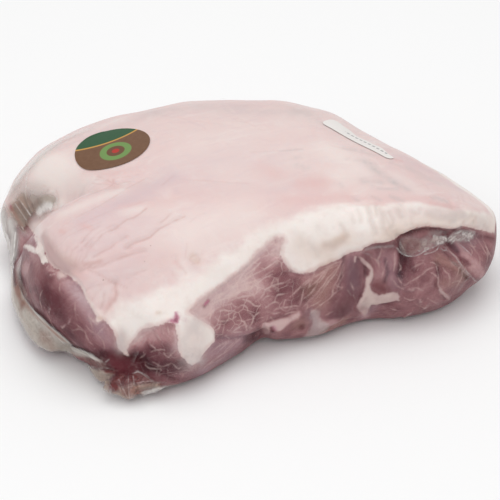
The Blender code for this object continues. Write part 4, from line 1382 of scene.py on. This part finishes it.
def pleats_behind(draws, first, last, low, high, count):
    """Short upright pleats between two bearings on the hidden sides."""
    rows = []
    for k in range(count):
        bearing = first + (last - first) * (k + 0.8 * draws.random()) / count
        lean_over = draws.uniform(-PLEAT_LEAN, PLEAT_LEAN)
        foot = low + draws.uniform(0, PLEAT_FOOT)
        top = high - draws.uniform(0, PLEAT_TOP)
        rows.append(round_the_side(envelope, f"{bearing:.1f},{foot:.1f} "
                                   f"{bearing + lean_over / 2:.1f},{(foot + top) / 2:.1f} "
                                   f"{bearing + lean_over:.1f},{top:.1f}"))
    return rows


draws = np.random.default_rng(FOLD_SEED)
fold_lines = [(draw(envelope, text, 2.0, FOLD_SHAKE), radius, rise, veil)
              for text, radius, rise, veil in FOLDS]
for first, last, count, radius, rise, veil in FANS:
    for text in between(first, last, count):
        fold_lines.append((draw(envelope, text), radius, rise, veil * draws.uniform(0.6, 1.3)))
front_count = len(fold_lines)
for first, last, low, high, count, radius, rise, veil in HIDDEN_FANS:
    for line in pleats_behind(draws, first, last, low, high, count):
        fold_lines.append((line, radius, rise, veil * draws.uniform(0.5, 1.5)))
print("folds", len(fold_lines))

# %% [markdown]
# The film's squares are halved along every fold, and once more along those that were drawn at
# the front. Then each fold lifts the film a little, and the veil starts from how far
# the film stands off the meat.

# %% The film gets its folds
FOLD_REACH = 3.5
FOLD_FAR = 0.012
FOLD_SPREAD = 1.4
FOLD_CORE = 0.2
VEIL_TIGHT = 0.008
VEIL_SLACK = 0.72
VEIL_GAP = (2.0, 8.0)

paths = [line for line, radius, rise, veil in fold_lines]
finer(bag, lambda centres: near_lines(centres, paths, FOLD_REACH))
finer(bag, lambda centres: near_lines(centres, paths[:front_count], FOLD_REACH / 2))
film_points = places(bag)
gap = relaxed(stand_off(film_points), edges_of(bag), GAP_ROUNDS)
rise_now = np.zeros(len(film_points))
fold_now = np.zeros(len(film_points))
veil_now = VEIL_TIGHT + VEIL_SLACK * smoothstep(*VEIL_GAP, gap)
for line, radius, rise, veil in fold_lines:
    away = distance(film_points, line, FOLD_FAR) / MM
    rise_now = np.maximum(rise_now, rise * np.exp(-(away / (FOLD_SPREAD * radius)) ** 2))
    fold_now = np.maximum(fold_now, veil * smoothstep(radius, FOLD_CORE * radius, away))
valley_now = np.zeros(len(film_points))
for text, radius, dark in VALLEYS:
    valley_now = np.maximum(valley_now, dark * brush(film_points, envelope, text, radius))
put_places(bag, film_points + outward(bag) * rise_now[:, None] * MM)
print("film", len(bag.data.polygons), "faces")

# %% [markdown]
# Slack film isn't quite clear: it looks greyish, beige or brown, and meat juice reddens the tail.
# Its dark tint where it is tucked in, in the notch and in the valleys between pleats is painted
# shade, and the small pale patches under the fat lip are partly painted highlight. Strokes and
# patches set a veil and a tint. In the cleared places the film clings again and lets the meat
# show, and the facet is one pale flat bit of film over the notch.

# %% Tints of the film
GREYISH = (
    ("4,212 6,240 10,262", 12, 1.0), ("14,300 30,330 60,350", 12, 0.8),
    ("90,370 110,386 140,392", 12, 0.6),
)
BROWNED = (
    ("42,333 50,334", 4, 0.35), ("44,340 50,342 52,350", 4, 0.4), ("74,356 84,360 102,366", 4, 0.5),
    ("16,206 24,214 28,222", 6, 0.4), ("22,200 34,206", 7, 0.45), ("434,240 472,236", 5, 0.3),
    ("9,205 11,209", 2.4, 0.25), ("104,380 118,390 134,392", 8, 0.4), ("128,380 130,398", 5, 0.4),
    ("138,388 150,386 160,384", 4, 0.4), ("160,384 184,384", 1.6, 0.6), ("136,390 140,396", 3, 0.4),
    ("14,280 18,292", 4, 0.6), ("404,246 430,243", 6, 0.4), ("10,206 16,216 22,228", 2.2, 0.6),
    ("15,270 16,278 17,286", 4, 0.9), ("17,288 20,298 22,306", 3, 0.85),
    ("24,302 35,315 46,325 56,334 64,341", 2.2, 0.8),
)
BLOODS = (
    ("112,386 115,379 120,376", 4, 0.7), ("134,377 140,377 148,380", 4, 0.9),
    ("107,370 113,371", 2.4, 0.8), ("112,366 128,376", 5, 0.6), ("124,382 128,378", 3, 0.6),
    ("17,274 20,282 25,292", 2.4, 0.6), ("139,345 133,358 128,369 121,378 114,388", 3, 0.6),
    ("14,278 18,286", 3, 0.3), ("88,360 98,365 106,368", 3, 0.75), ("126,380 126,392", 4, 0.65),
    ("112,382 116,388", 3, 0.4),
)
FILM_STROKES = (
    ("2,214 4,230 8,246 11,262", 6, 0.9, "greyish", 1.0),
    ("10,222 13,238 13,256", 4, 0.88, "greyish", 0.9), ("14,208 20,217 26,225", 5, 0.88, "beige", 0.95),
    ("22,200 28,208 32,214", 6, 0.88, "beige", 0.95), ("33,201 38,205 41,204", 5, 0.8, "beige", 0.7),
    # The two dark strokes in the notch are painted shade.
    ("27,214 33,211 38,206", 4, 0.9, "dark", 0.34), ("17,205 21,211 26,218", 4, 0.9, "dark", 0.3),
    ("14,193 24,190 40,191", 7, 0.32, "beige", 0.4),
    ("12,190 22,174 38,157 54,145", 6, 0.55, "greyish", 0.1),
    ("54,145 70,137 86,130", 5, 0.35, "greyish", 0.1), ("11,268 12,284 12,300", 4, 0.88, "beige", 0.7),
    ("20,262 17,272 18,282", 3, 0.6, "browned", 0.5), ("41,201 46,199 52,200", 4, 0.85, "beige", 0.85),
)
FILM_PATCHES = (
    ("11,290 14,286 18,284 21,290 24,297 29,304 36,312 43,319 50,326 57,332 64,338 71,344 73,350 "
     "64,351 62,351 50,352 38,347 30,339 20,321 12,305", 1.3, 0.88, "beige", 0.72),
    ("64,343 76,348 84,351 92,355 100,360 106,365 98,362 90,358 82,357 74,356 68,353",
     1.0, 0.72, "beige", 0.55),
    ("87,365 92,368 100,370 110,370 117,371 112,377 106,382 100,384 94,377", 1.6, 0.85, "beige", 0.95),
    ("95,377 104,379 110,380 112,388 109,393 102,388", 2.0, 0.85, "beige", 0.9),
    ("110,388 112,381 117,376 122,373 126,376 120,386 113,392", 1.5, 0.85, "blood", 0.9),
    ("111,391 118,385 124,388 130,392 128,399 120,399 113,397", 1.6, 0.85, "beige", 0.9),
    ("124,380 132,376 135,384 136,392 132,401 126,401 124,390", 2.0, 0.85, "browned", 0.75),
    ("131,374 138,371 145,375 153,381 146,383 138,385 133,383", 1.2, 0.88, "blood", 0.95),
    ("134,386 142,384 152,382 160,383 160,387 150,388 140,390 135,390", 1.4, 0.75, "beige", 0.95),
    ("138,392 148,390 158,387 166,387 156,392 144,396", 1.4, 0.85, "greyish", 0.7),
    ("400,240 407,237 415,238 422,241 424,248 412,255 404,254 400,249", 2.2, 0.26, "browned", 0.8),
    ("419,241 426,238 433,240 434,244 430,248 424,250 418,250", 2.6, 0.5, "browned", 0.6),
    # Small pale patches of crumpled film under the lip: milky film and painted highlight.
    ("433,235 438,236 440,241 438,245 434,245 432,240", 0.9, 0.68, "greyish", 0.3),
    ("439,236 446,236 447,240 443,244 438,244", 0.9, 0.66, "greyish", 0.4),
    ("446,239 452,234 460,230 470,231 475,232 473,238 468,241 460,241 452,243",
     1.6, 0.5, "greyish", 0.5),
    ("462,233 470,231 475,233 472,238 465,240 461,238", 1.4, 0.7, "greyish", 0.2),
    ("311,311 316,310 319,312 319,318 324,322 329,325 328,329 324,333 316,336 308,338 303,339 307,334 "
     "312,327 313,321 311,317", 1.6, 0.28, "greyish", 0.9),
)
CLEARED = (("24,229 28,220 32,214 38,209 43,203 52,203 60,206 74,212 74,240 46,262 36,240", 0.9, 0.95),)
CLEARED_STROKES = (("29,227 31,221 35,216", 3, 0.9), ("30,224 36,226", 3, 0.7))
FACET = ("39,212 42,209 46,206 50,206", 3.2, 0.75)
FACET_EDGE = (0.1, 0.7)
FACET_UNTINTED = 0.8
STROKE_POWER = 0.7
STROKE_TINT = (0.0, 0.5)
VEIL_MOST = 0.95
TINTS = ("greyish", "beige", "browned", "blood", "dark")
WRINKLED = (
    ("402,246 420,248 440,242 456,238 474,236", 9, 1.0), ("100,376 120,388 140,388 160,386", 9, 0.6),
    ("16,204 24,216", 5, 0.3), ("4,220 10,250 12,280", 9, 0.12), ("24,310 40,334 60,346", 10, 0.25),
    ("14,188 26,172 42,156 60,144 84,132", 10, 0.08), ("360,250 376,248 394,246", 5, 0.8),
)


def patched(text, soft):
    """1 inside a closed shape on the film, 0 outside, with a soft border."""
    return smoothstep(-soft, soft, patch(film_points, envelope, text))


tint_now = {name: np.zeros(len(film_points)) for name in TINTS}
for name, strokes in (("greyish", GREYISH), ("browned", BROWNED), ("blood", BLOODS)):
    tint_now[name] = brushed(film_points, envelope, strokes)
for text, soft, veil, name, share in FILM_PATCHES:
    mark = patched(text, soft)
    veil_now = np.maximum(veil_now, veil * mark)
    tint_now[name] = np.maximum(tint_now[name], share * mark)
for text, radius, veil, name, share in FILM_STROKES:
    mark = brush(film_points, envelope, text, radius)
    veil_now = np.maximum(veil_now, veil * mark ** STROKE_POWER)
    tint_now[name] = np.maximum(tint_now[name], share * smoothstep(*STROKE_TINT, mark))
for text, soft, share in CLEARED:
    veil_now *= 1 - share * patched(text, soft)
for text, radius, share in CLEARED_STROKES:
    veil_now *= 1 - share * brush(film_points, envelope, text, radius)
text, radius, veil = FACET
facet = smoothstep(*FACET_EDGE, brush(film_points, envelope, text, radius))
veil_now = np.maximum(veil_now, veil * facet)
for name, values in tint_now.items():
    store(bag, name, np.clip(values * (1 - FACET_UNTINTED * facet), 0, 1))
store(bag, "veil", np.clip(veil_now, 0, VEIL_MOST))
store(bag, "fold", fold_now)
store(bag, "wrinkled", np.clip(brushed(film_points, envelope, WRINKLED), 0, 1))
store(bag, "valley", valley_now)
print("film", triangles(bag), "triangles")

# %% [markdown]
# Film is a glossy, nearly clear shell. Its alpha is the veil attribute with a fine streaky
# noise, so slack film looks milky and creased while tight film almost vanishes.

# %% Clear film
FILM_PALE = (0.860, 0.845, 0.820)
FILM_GREY = (0.590, 0.555, 0.530)
FILM_BEIGE = (0.410, 0.345, 0.285)
FILM_BROWN = (0.300, 0.160, 0.125)
FILM_BLOOD = (0.150, 0.038, 0.038)
FILM_SHADE_DARK = (0.110, 0.080, 0.068)

film = Finish("film", Roughness=0.2, IOR=1.45, Specular_IOR_Level=0.35)
streaky = film.noise(film.place, 70.0, 3.0, 0.5, 0.4)
veil_of = film.maths("MULTIPLY", film.attribute("veil"), film.ramp(streaky, 0.3, 0.7, 0.9, 1.08))
wrinkle = film.ramp(film.noise(film.place, 230.0, 4.0, 0.65, 1.4), 0.36, 0.62, -0.5, 0.35)
wrinkle = film.maths("MULTIPLY", wrinkle, film.attribute("wrinkled"))
veil_of = film.maths("MULTIPLY", veil_of, film.maths("ADD", wrinkle, 1.0))
fold_of = film.maths("MULTIPLY", film.attribute("fold"), film.ramp(
    film.noise(film.place, 130.0, 3.0), 0.35, 0.62, 0.25, 1.2))
valley_of = film.maths("MULTIPLY", film.attribute("valley"), film.ramp(
    film.noise(film.place, 110.0, 3.0), 0.3, 0.6, 0.5, 1.1))
folded = film.maths("ADD", fold_of, film.maths("MULTIPLY", valley_of, 0.7))
veil_of = film.maths("ADD", veil_of, folded)
film_colour = FILM_PALE
# The last tint, dark, is painted shade.
for name, colour in zip(TINTS, (FILM_GREY, FILM_BEIGE, FILM_BROWN, FILM_BLOOD, FILM_SHADE_DARK)):
    film_colour = film.mix(film.attribute(name), film_colour, colour)
# Painted shade: the film turns dark in the valleys between pleats.
film_colour = film.mix(valley_of, film_colour, FILM_SHADE_DARK)
# Folds turn pale: partly milky creased film, partly painted highlight.
film_colour = film.mix(film.ramp(fold_of, 0.0, 0.4, 0.0, 0.5), film_colour, FILM_PALE)
film.feed(film.shader.inputs["Base Color"], film_colour)
film.feed(film.shader.inputs["Alpha"], veil_of)
film.bump(film.noise(film.place, 110.0, 2.0, 0.5, 0.4), 0.8 * MM, 0.3)
bag.data.materials.append(film.material)
print("film nodes", len(film.tree.nodes))

# %% [markdown]
# The badge and the strip are thin printed sheets that follow the film. The badge starts as a
# circle whose edge is extruded inwards in rings, the strip as a grid with its corners drawn
# in. Each is laid on the film by a shrinkwrap and gets a little thickness. The flat shape
# gives the UV map before it is laid down, so the print follows the sheet.

# %% Sheets laid on the film
SHEET_LIFT = 0.08 * MM
SHEET_THICKNESS = 0.06 * MM
DROP = 0.02
SMOOTH_ANGLE = math.radians(40)


def flat_map(thing, middle, turn, size):
    """A UV map from the flat sheet: 0 to 1 across its size."""
    cos, sin = math.cos(turn), math.sin(turn)
    while thing.data.uv_layers:
        thing.data.uv_layers.remove(thing.data.uv_layers[0])
    layer = thing.data.uv_layers.new(name="flat")
    for loop in thing.data.loops:
        x, y, z = thing.data.vertices[loop.vertex_index].co
        x, y = x - middle[0], y - middle[1]
        layer.data[loop.index].uv = (0.5 + (x * cos + y * sin) / size[0],
                                     0.5 + (y * cos - x * sin) / size[1])


def lay_down(thing):
    """Lay a flat sheet on the film and give it its thickness."""
    apply_modifier(thing, "SHRINKWRAP", target=bag, wrap_method="PROJECT", use_project_z=True,
                   use_negative_direction=True, use_positive_direction=False, offset=SHEET_LIFT)
    apply_modifier(thing, "SOLIDIFY", thickness=SHEET_THICKNESS, offset=1.0)
    only(thing)
    bpy.ops.object.shade_smooth_by_angle(angle=SMOOTH_ANGLE)


def node_middle(node):
    """Middle, size and top of a CAD node's box."""
    low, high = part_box(node)
    return (low + high) / 2, high - low, high[2]


# %% [markdown]
# The round badge is a plain sticker on the left shoulder of the bag. Its circle takes the size
# of the CAD node's box. Rings of faces, and not one big face, let it bend with the film.

# %% The round badge
RING_COUNT = 22
ROUND_POINTS = 96
middle, size, top = node_middle("round_label")
centre = (middle[0], middle[1], top + DROP)
bpy.ops.object.select_all(action="DESELECT")
bpy.ops.mesh.primitive_circle_add(vertices=ROUND_POINTS, radius=0.5, fill_type="NOTHING",
                                  location=centre)
badge = bpy.context.object
badge.name = "round_badge"
badge.scale = (size[0], size[1], 1.0)
bpy.ops.object.transform_apply(location=True, rotation=True, scale=True)
bpy.ops.object.mode_set(mode="EDIT")
bpy.ops.mesh.select_all(action="SELECT")
for k in range(RING_COUNT - 1):
    left = RING_COUNT - k
    bpy.ops.mesh.extrude_edges_move()
    bpy.ops.transform.resize(value=((left - 1) / left, (left - 1) / left, 1.0),
                             center_override=centre)
bpy.ops.mesh.edge_face_add()
bpy.ops.mesh.poke()
bpy.ops.mesh.select_all(action="SELECT")
bpy.ops.mesh.normals_make_consistent(inside=False)
bpy.ops.object.mode_set(mode="OBJECT")
if badge.data.polygons[0].normal.z < 0:
    badge.data.flip_normals()
flat_map(badge, middle, 0.0, size)
lay_down(badge)
print("badge", len(badge.data.polygons), "faces")

# %% [markdown]
# The paper strip has round corners, a narrower right end and a slightly wavy upper edge. The
# grid is shaped at the origin first, along x, and then turned and moved to its place.

# %% The paper strip
STRIP_LENGTH = 68 * MM
STRIP_WIDTH = 15 * MM
STRIP_CORNER = 5 * MM
STRIP_TURN = math.atan2(-56, 24)
STRIP_SQUARES = (72, 18)
WAIST = (0.4, 0.24, 0.42)
UPPER_TAPER = (0.5, 0.72, 1.0)
LOWER_TAPER = (0.25, 0.5, 1.0)
STRIP_WAVE = 0.05
STRIP_WAVES = 26.0


def drawn_in_by(narrowing, along):
    """How much narrower the strip is along its length: (share, from, to)."""
    share, start, end = narrowing
    return share * smoothstep(start, end, along)


middle, size, top = node_middle("paper_label")
bpy.ops.object.select_all(action="DESELECT")
bpy.ops.mesh.primitive_grid_add(x_subdivisions=STRIP_SQUARES[0], y_subdivisions=STRIP_SQUARES[1],
                                size=1.0, location=(0, 0, 0))
strip = bpy.context.object
strip.name = "paper_strip"
strip.scale = (STRIP_LENGTH, STRIP_WIDTH, 1.0)
bpy.ops.object.transform_apply(location=True, rotation=True, scale=True)
rows = places(strip)
corner = np.array((STRIP_LENGTH, STRIP_WIDTH)) / 2 - STRIP_CORNER
over = np.maximum(np.abs(rows[:, :2]) - corner, 0)
reach = np.linalg.norm(over, axis=1)
keep = np.where(reach > 0, over.max(axis=1) / np.maximum(reach, 1e-9), 1.0)
inner = np.minimum(np.abs(rows[:, :2]), corner)
rows[:, :2] = np.sign(rows[:, :2]) * (inner + over * keep[:, None])
along = rows[:, 0] / STRIP_LENGTH + 0.5
upper = 1 - drawn_in_by(WAIST, along) - drawn_in_by(UPPER_TAPER, along)
upper += STRIP_WAVE * np.sin(STRIP_WAVES * along)
lower = 1 - drawn_in_by(LOWER_TAPER, along)
rows[:, 1] *= np.where(rows[:, 1] > 0, upper, lower)
cos, sin = math.cos(STRIP_TURN), math.sin(STRIP_TURN)
rows = np.column_stack((middle[0] + rows[:, 0] * cos - rows[:, 1] * sin,
                        middle[1] + rows[:, 0] * sin + rows[:, 1] * cos,
                        np.full(len(rows), top + DROP)))
put_places(strip, rows)
flat_map(strip, middle, STRIP_TURN, (STRIP_LENGTH, STRIP_WIDTH))
lay_down(strip)
print("strip", len(strip.data.polygons), "faces")

# %% [markdown]
# The badge's print is fields of colour and simple ovals. Each oval is a distance in the sheet's
# own UV map, cut off sharply, and they are painted over each other from the largest down.

# %% The badge's print
BADGE_BROWN = (0.145, 0.072, 0.040)
BADGE_UMBER = (0.190, 0.102, 0.060)
BADGE_GREEN = (0.035, 0.095, 0.045)
BADGE_FRESH = (0.160, 0.275, 0.085)
BADGE_OCHRE = (0.560, 0.300, 0.080)
BADGE_RED = (0.420, 0.040, 0.030)
BADGE_SHAPES = (
    (0.50, 1.04, 0.66, 0.42, 0.015, BADGE_OCHRE), (0.50, 1.04, 0.63, 0.39, 0.015, BADGE_GREEN),
    (0.50, 0.37, 0.21, 0.21, 0.04, BADGE_FRESH), (0.50, 0.37, 0.12, 0.12, 0.06, BADGE_BROWN),
    (0.50, 0.37, 0.05, 0.05, 0.10, BADGE_RED),
)

ink = Finish("badge_print", Roughness=0.5, Coat_Weight=0.08, Coat_Roughness=0.2,
             Specular_IOR_Level=0.15)
sheet = ink.add("ShaderNodeTexCoord", {}, "UV")


def oval(u, v, wide, high, soft):
    """1 inside an oval of the sheet, 0 outside."""
    shifted = ink.add("ShaderNodeVectorMath", {0: sheet, 1: (-u, -v, 0.0)}, operation="ADD")
    scaled = ink.add("ShaderNodeVectorMath", {0: shifted, 1: (1 / wide, 1 / high, 0.0)},
                     operation="MULTIPLY")
    away = ink.add("ShaderNodeVectorMath", {0: scaled}, "Value", operation="LENGTH")
    return ink.ramp(away, 1.0 - soft, 1.0 + soft, 1.0, 0.0)


print_colour = ink.mix(ink.noise(ink.place, 300.0, 2.0), BADGE_BROWN, BADGE_UMBER)
for u, v, wide, high, soft, colour in BADGE_SHAPES:
    print_colour = ink.mix(oval(u, v, wide, high, soft), print_colour, colour)
ink.feed(ink.shader.inputs["Base Color"], print_colour)
ink.bump(ink.noise(ink.place, 260.0, 2.0), 0.3 * MM, 0.4)
badge.data.materials.append(ink.material)
print("badge print", len(BADGE_SHAPES), "ovals")

# %% [markdown]
# The strip is white paper with one row of grey dashes. The fraction of the length repeats the
# dash, and ramps across and along the strip cut the row off at its sides and ends.

# %% The strip's print
PAPER = (0.780, 0.745, 0.715)
DASH = (0.400, 0.385, 0.380)
DASH_COUNT = 16.0
DASH_GAP = (0.60, 0.66)
ROW_LOW = (0.42, 0.46)
ROW_HIGH = (0.55, 0.59)
ROW_START = (0.28, 0.29)
ROW_END = (0.90, 0.91)

paper = Finish("paper_print", Roughness=0.5, Coat_Weight=0.4, Coat_Roughness=0.15)
uv = paper.add("ShaderNodeTexCoord", {}, "UV")
apart = paper.add("ShaderNodeSeparateXYZ", {0: uv})
across = apart.node.outputs["Y"]
count = paper.maths("FRACT", paper.maths("MULTIPLY", apart, DASH_COUNT))
dash = paper.ramp(count, *DASH_GAP, 1.0, 0.0)
for value, rising, falling in ((across, ROW_LOW, ROW_HIGH), (apart, ROW_START, ROW_END)):
    row = paper.maths("MULTIPLY", paper.ramp(value, *rising), paper.ramp(value, *falling, 1.0, 0.0))
    dash = paper.maths("MULTIPLY", dash, row)
paper.feed(paper.shader.inputs["Base Color"], paper.mix(dash, PAPER, DASH))
paper.bump(paper.noise(paper.place, 500.0, 2.0), 0.15 * MM, 0.3)
strip.data.materials.append(paper.material)
print("strip print", int(DASH_COUNT), "dashes along its full length")

# %% [markdown]
# The stage is a plain pale floor under soft studio light: a bright even surround, one broad
# lamp from the front left for the sheen of the film, and a softer one from above.

# %% Floor and light
FLOOR_SIZE = 8.0
FLOOR_WHITE = (0.900, 0.900, 0.900, 1.0)
LAMPS = (
    ("key", (-0.9, -1.3, 1.9), 1.6, 12.0),
    ("top", (0.2, 0.3, 2.2), 2.0, 22.0),
)
LAMP_AIM = Vector((0, 0, 0.05))
WORLD_STRENGTH = 0.60

bpy.ops.object.select_all(action="DESELECT")
bpy.ops.mesh.primitive_plane_add(size=FLOOR_SIZE, location=(0, 0, 0))
floor = bpy.context.object
floor.name = "floor"
floor_finish = Finish("floor_paint", Roughness=0.9)
floor_finish.shader.inputs["Base Color"].default_value = FLOOR_WHITE
floor_finish.shader.inputs["Specular IOR Level"].default_value = 0.0
floor.data.materials.append(floor_finish.material)

for name, place, size, power in LAMPS:
    bpy.ops.object.light_add(type="AREA", location=place)
    lamp = bpy.context.object
    lamp.name = name
    lamp.data.size = size
    lamp.data.energy = power
    lamp.rotation_euler = (Vector(place) - LAMP_AIM).to_track_quat("Z", "Y").to_euler()
world = bpy.data.worlds.new("surround")
world.use_nodes = True
background = world.node_tree.nodes["Background"]
background.inputs["Color"].default_value = (1.0, 1.0, 1.0, 1.0)
background.inputs["Strength"].default_value = WORLD_STRENGTH
bpy.context.scene.world = world
bpy.context.scene.view_settings.view_transform = "Standard"
print("lamps", len(LAMPS))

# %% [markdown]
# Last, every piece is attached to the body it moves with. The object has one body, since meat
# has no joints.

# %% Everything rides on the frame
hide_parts("bagged_shoulder")
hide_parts("bagged_shoulder")
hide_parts("round_label")
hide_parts("paper_label")
for piece, slot in ((meat, "bagged_pork"), (bag, "clear_film"), (badge, "printed_label"),
                    (strip, "white_paper")):
    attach(piece, BODY)
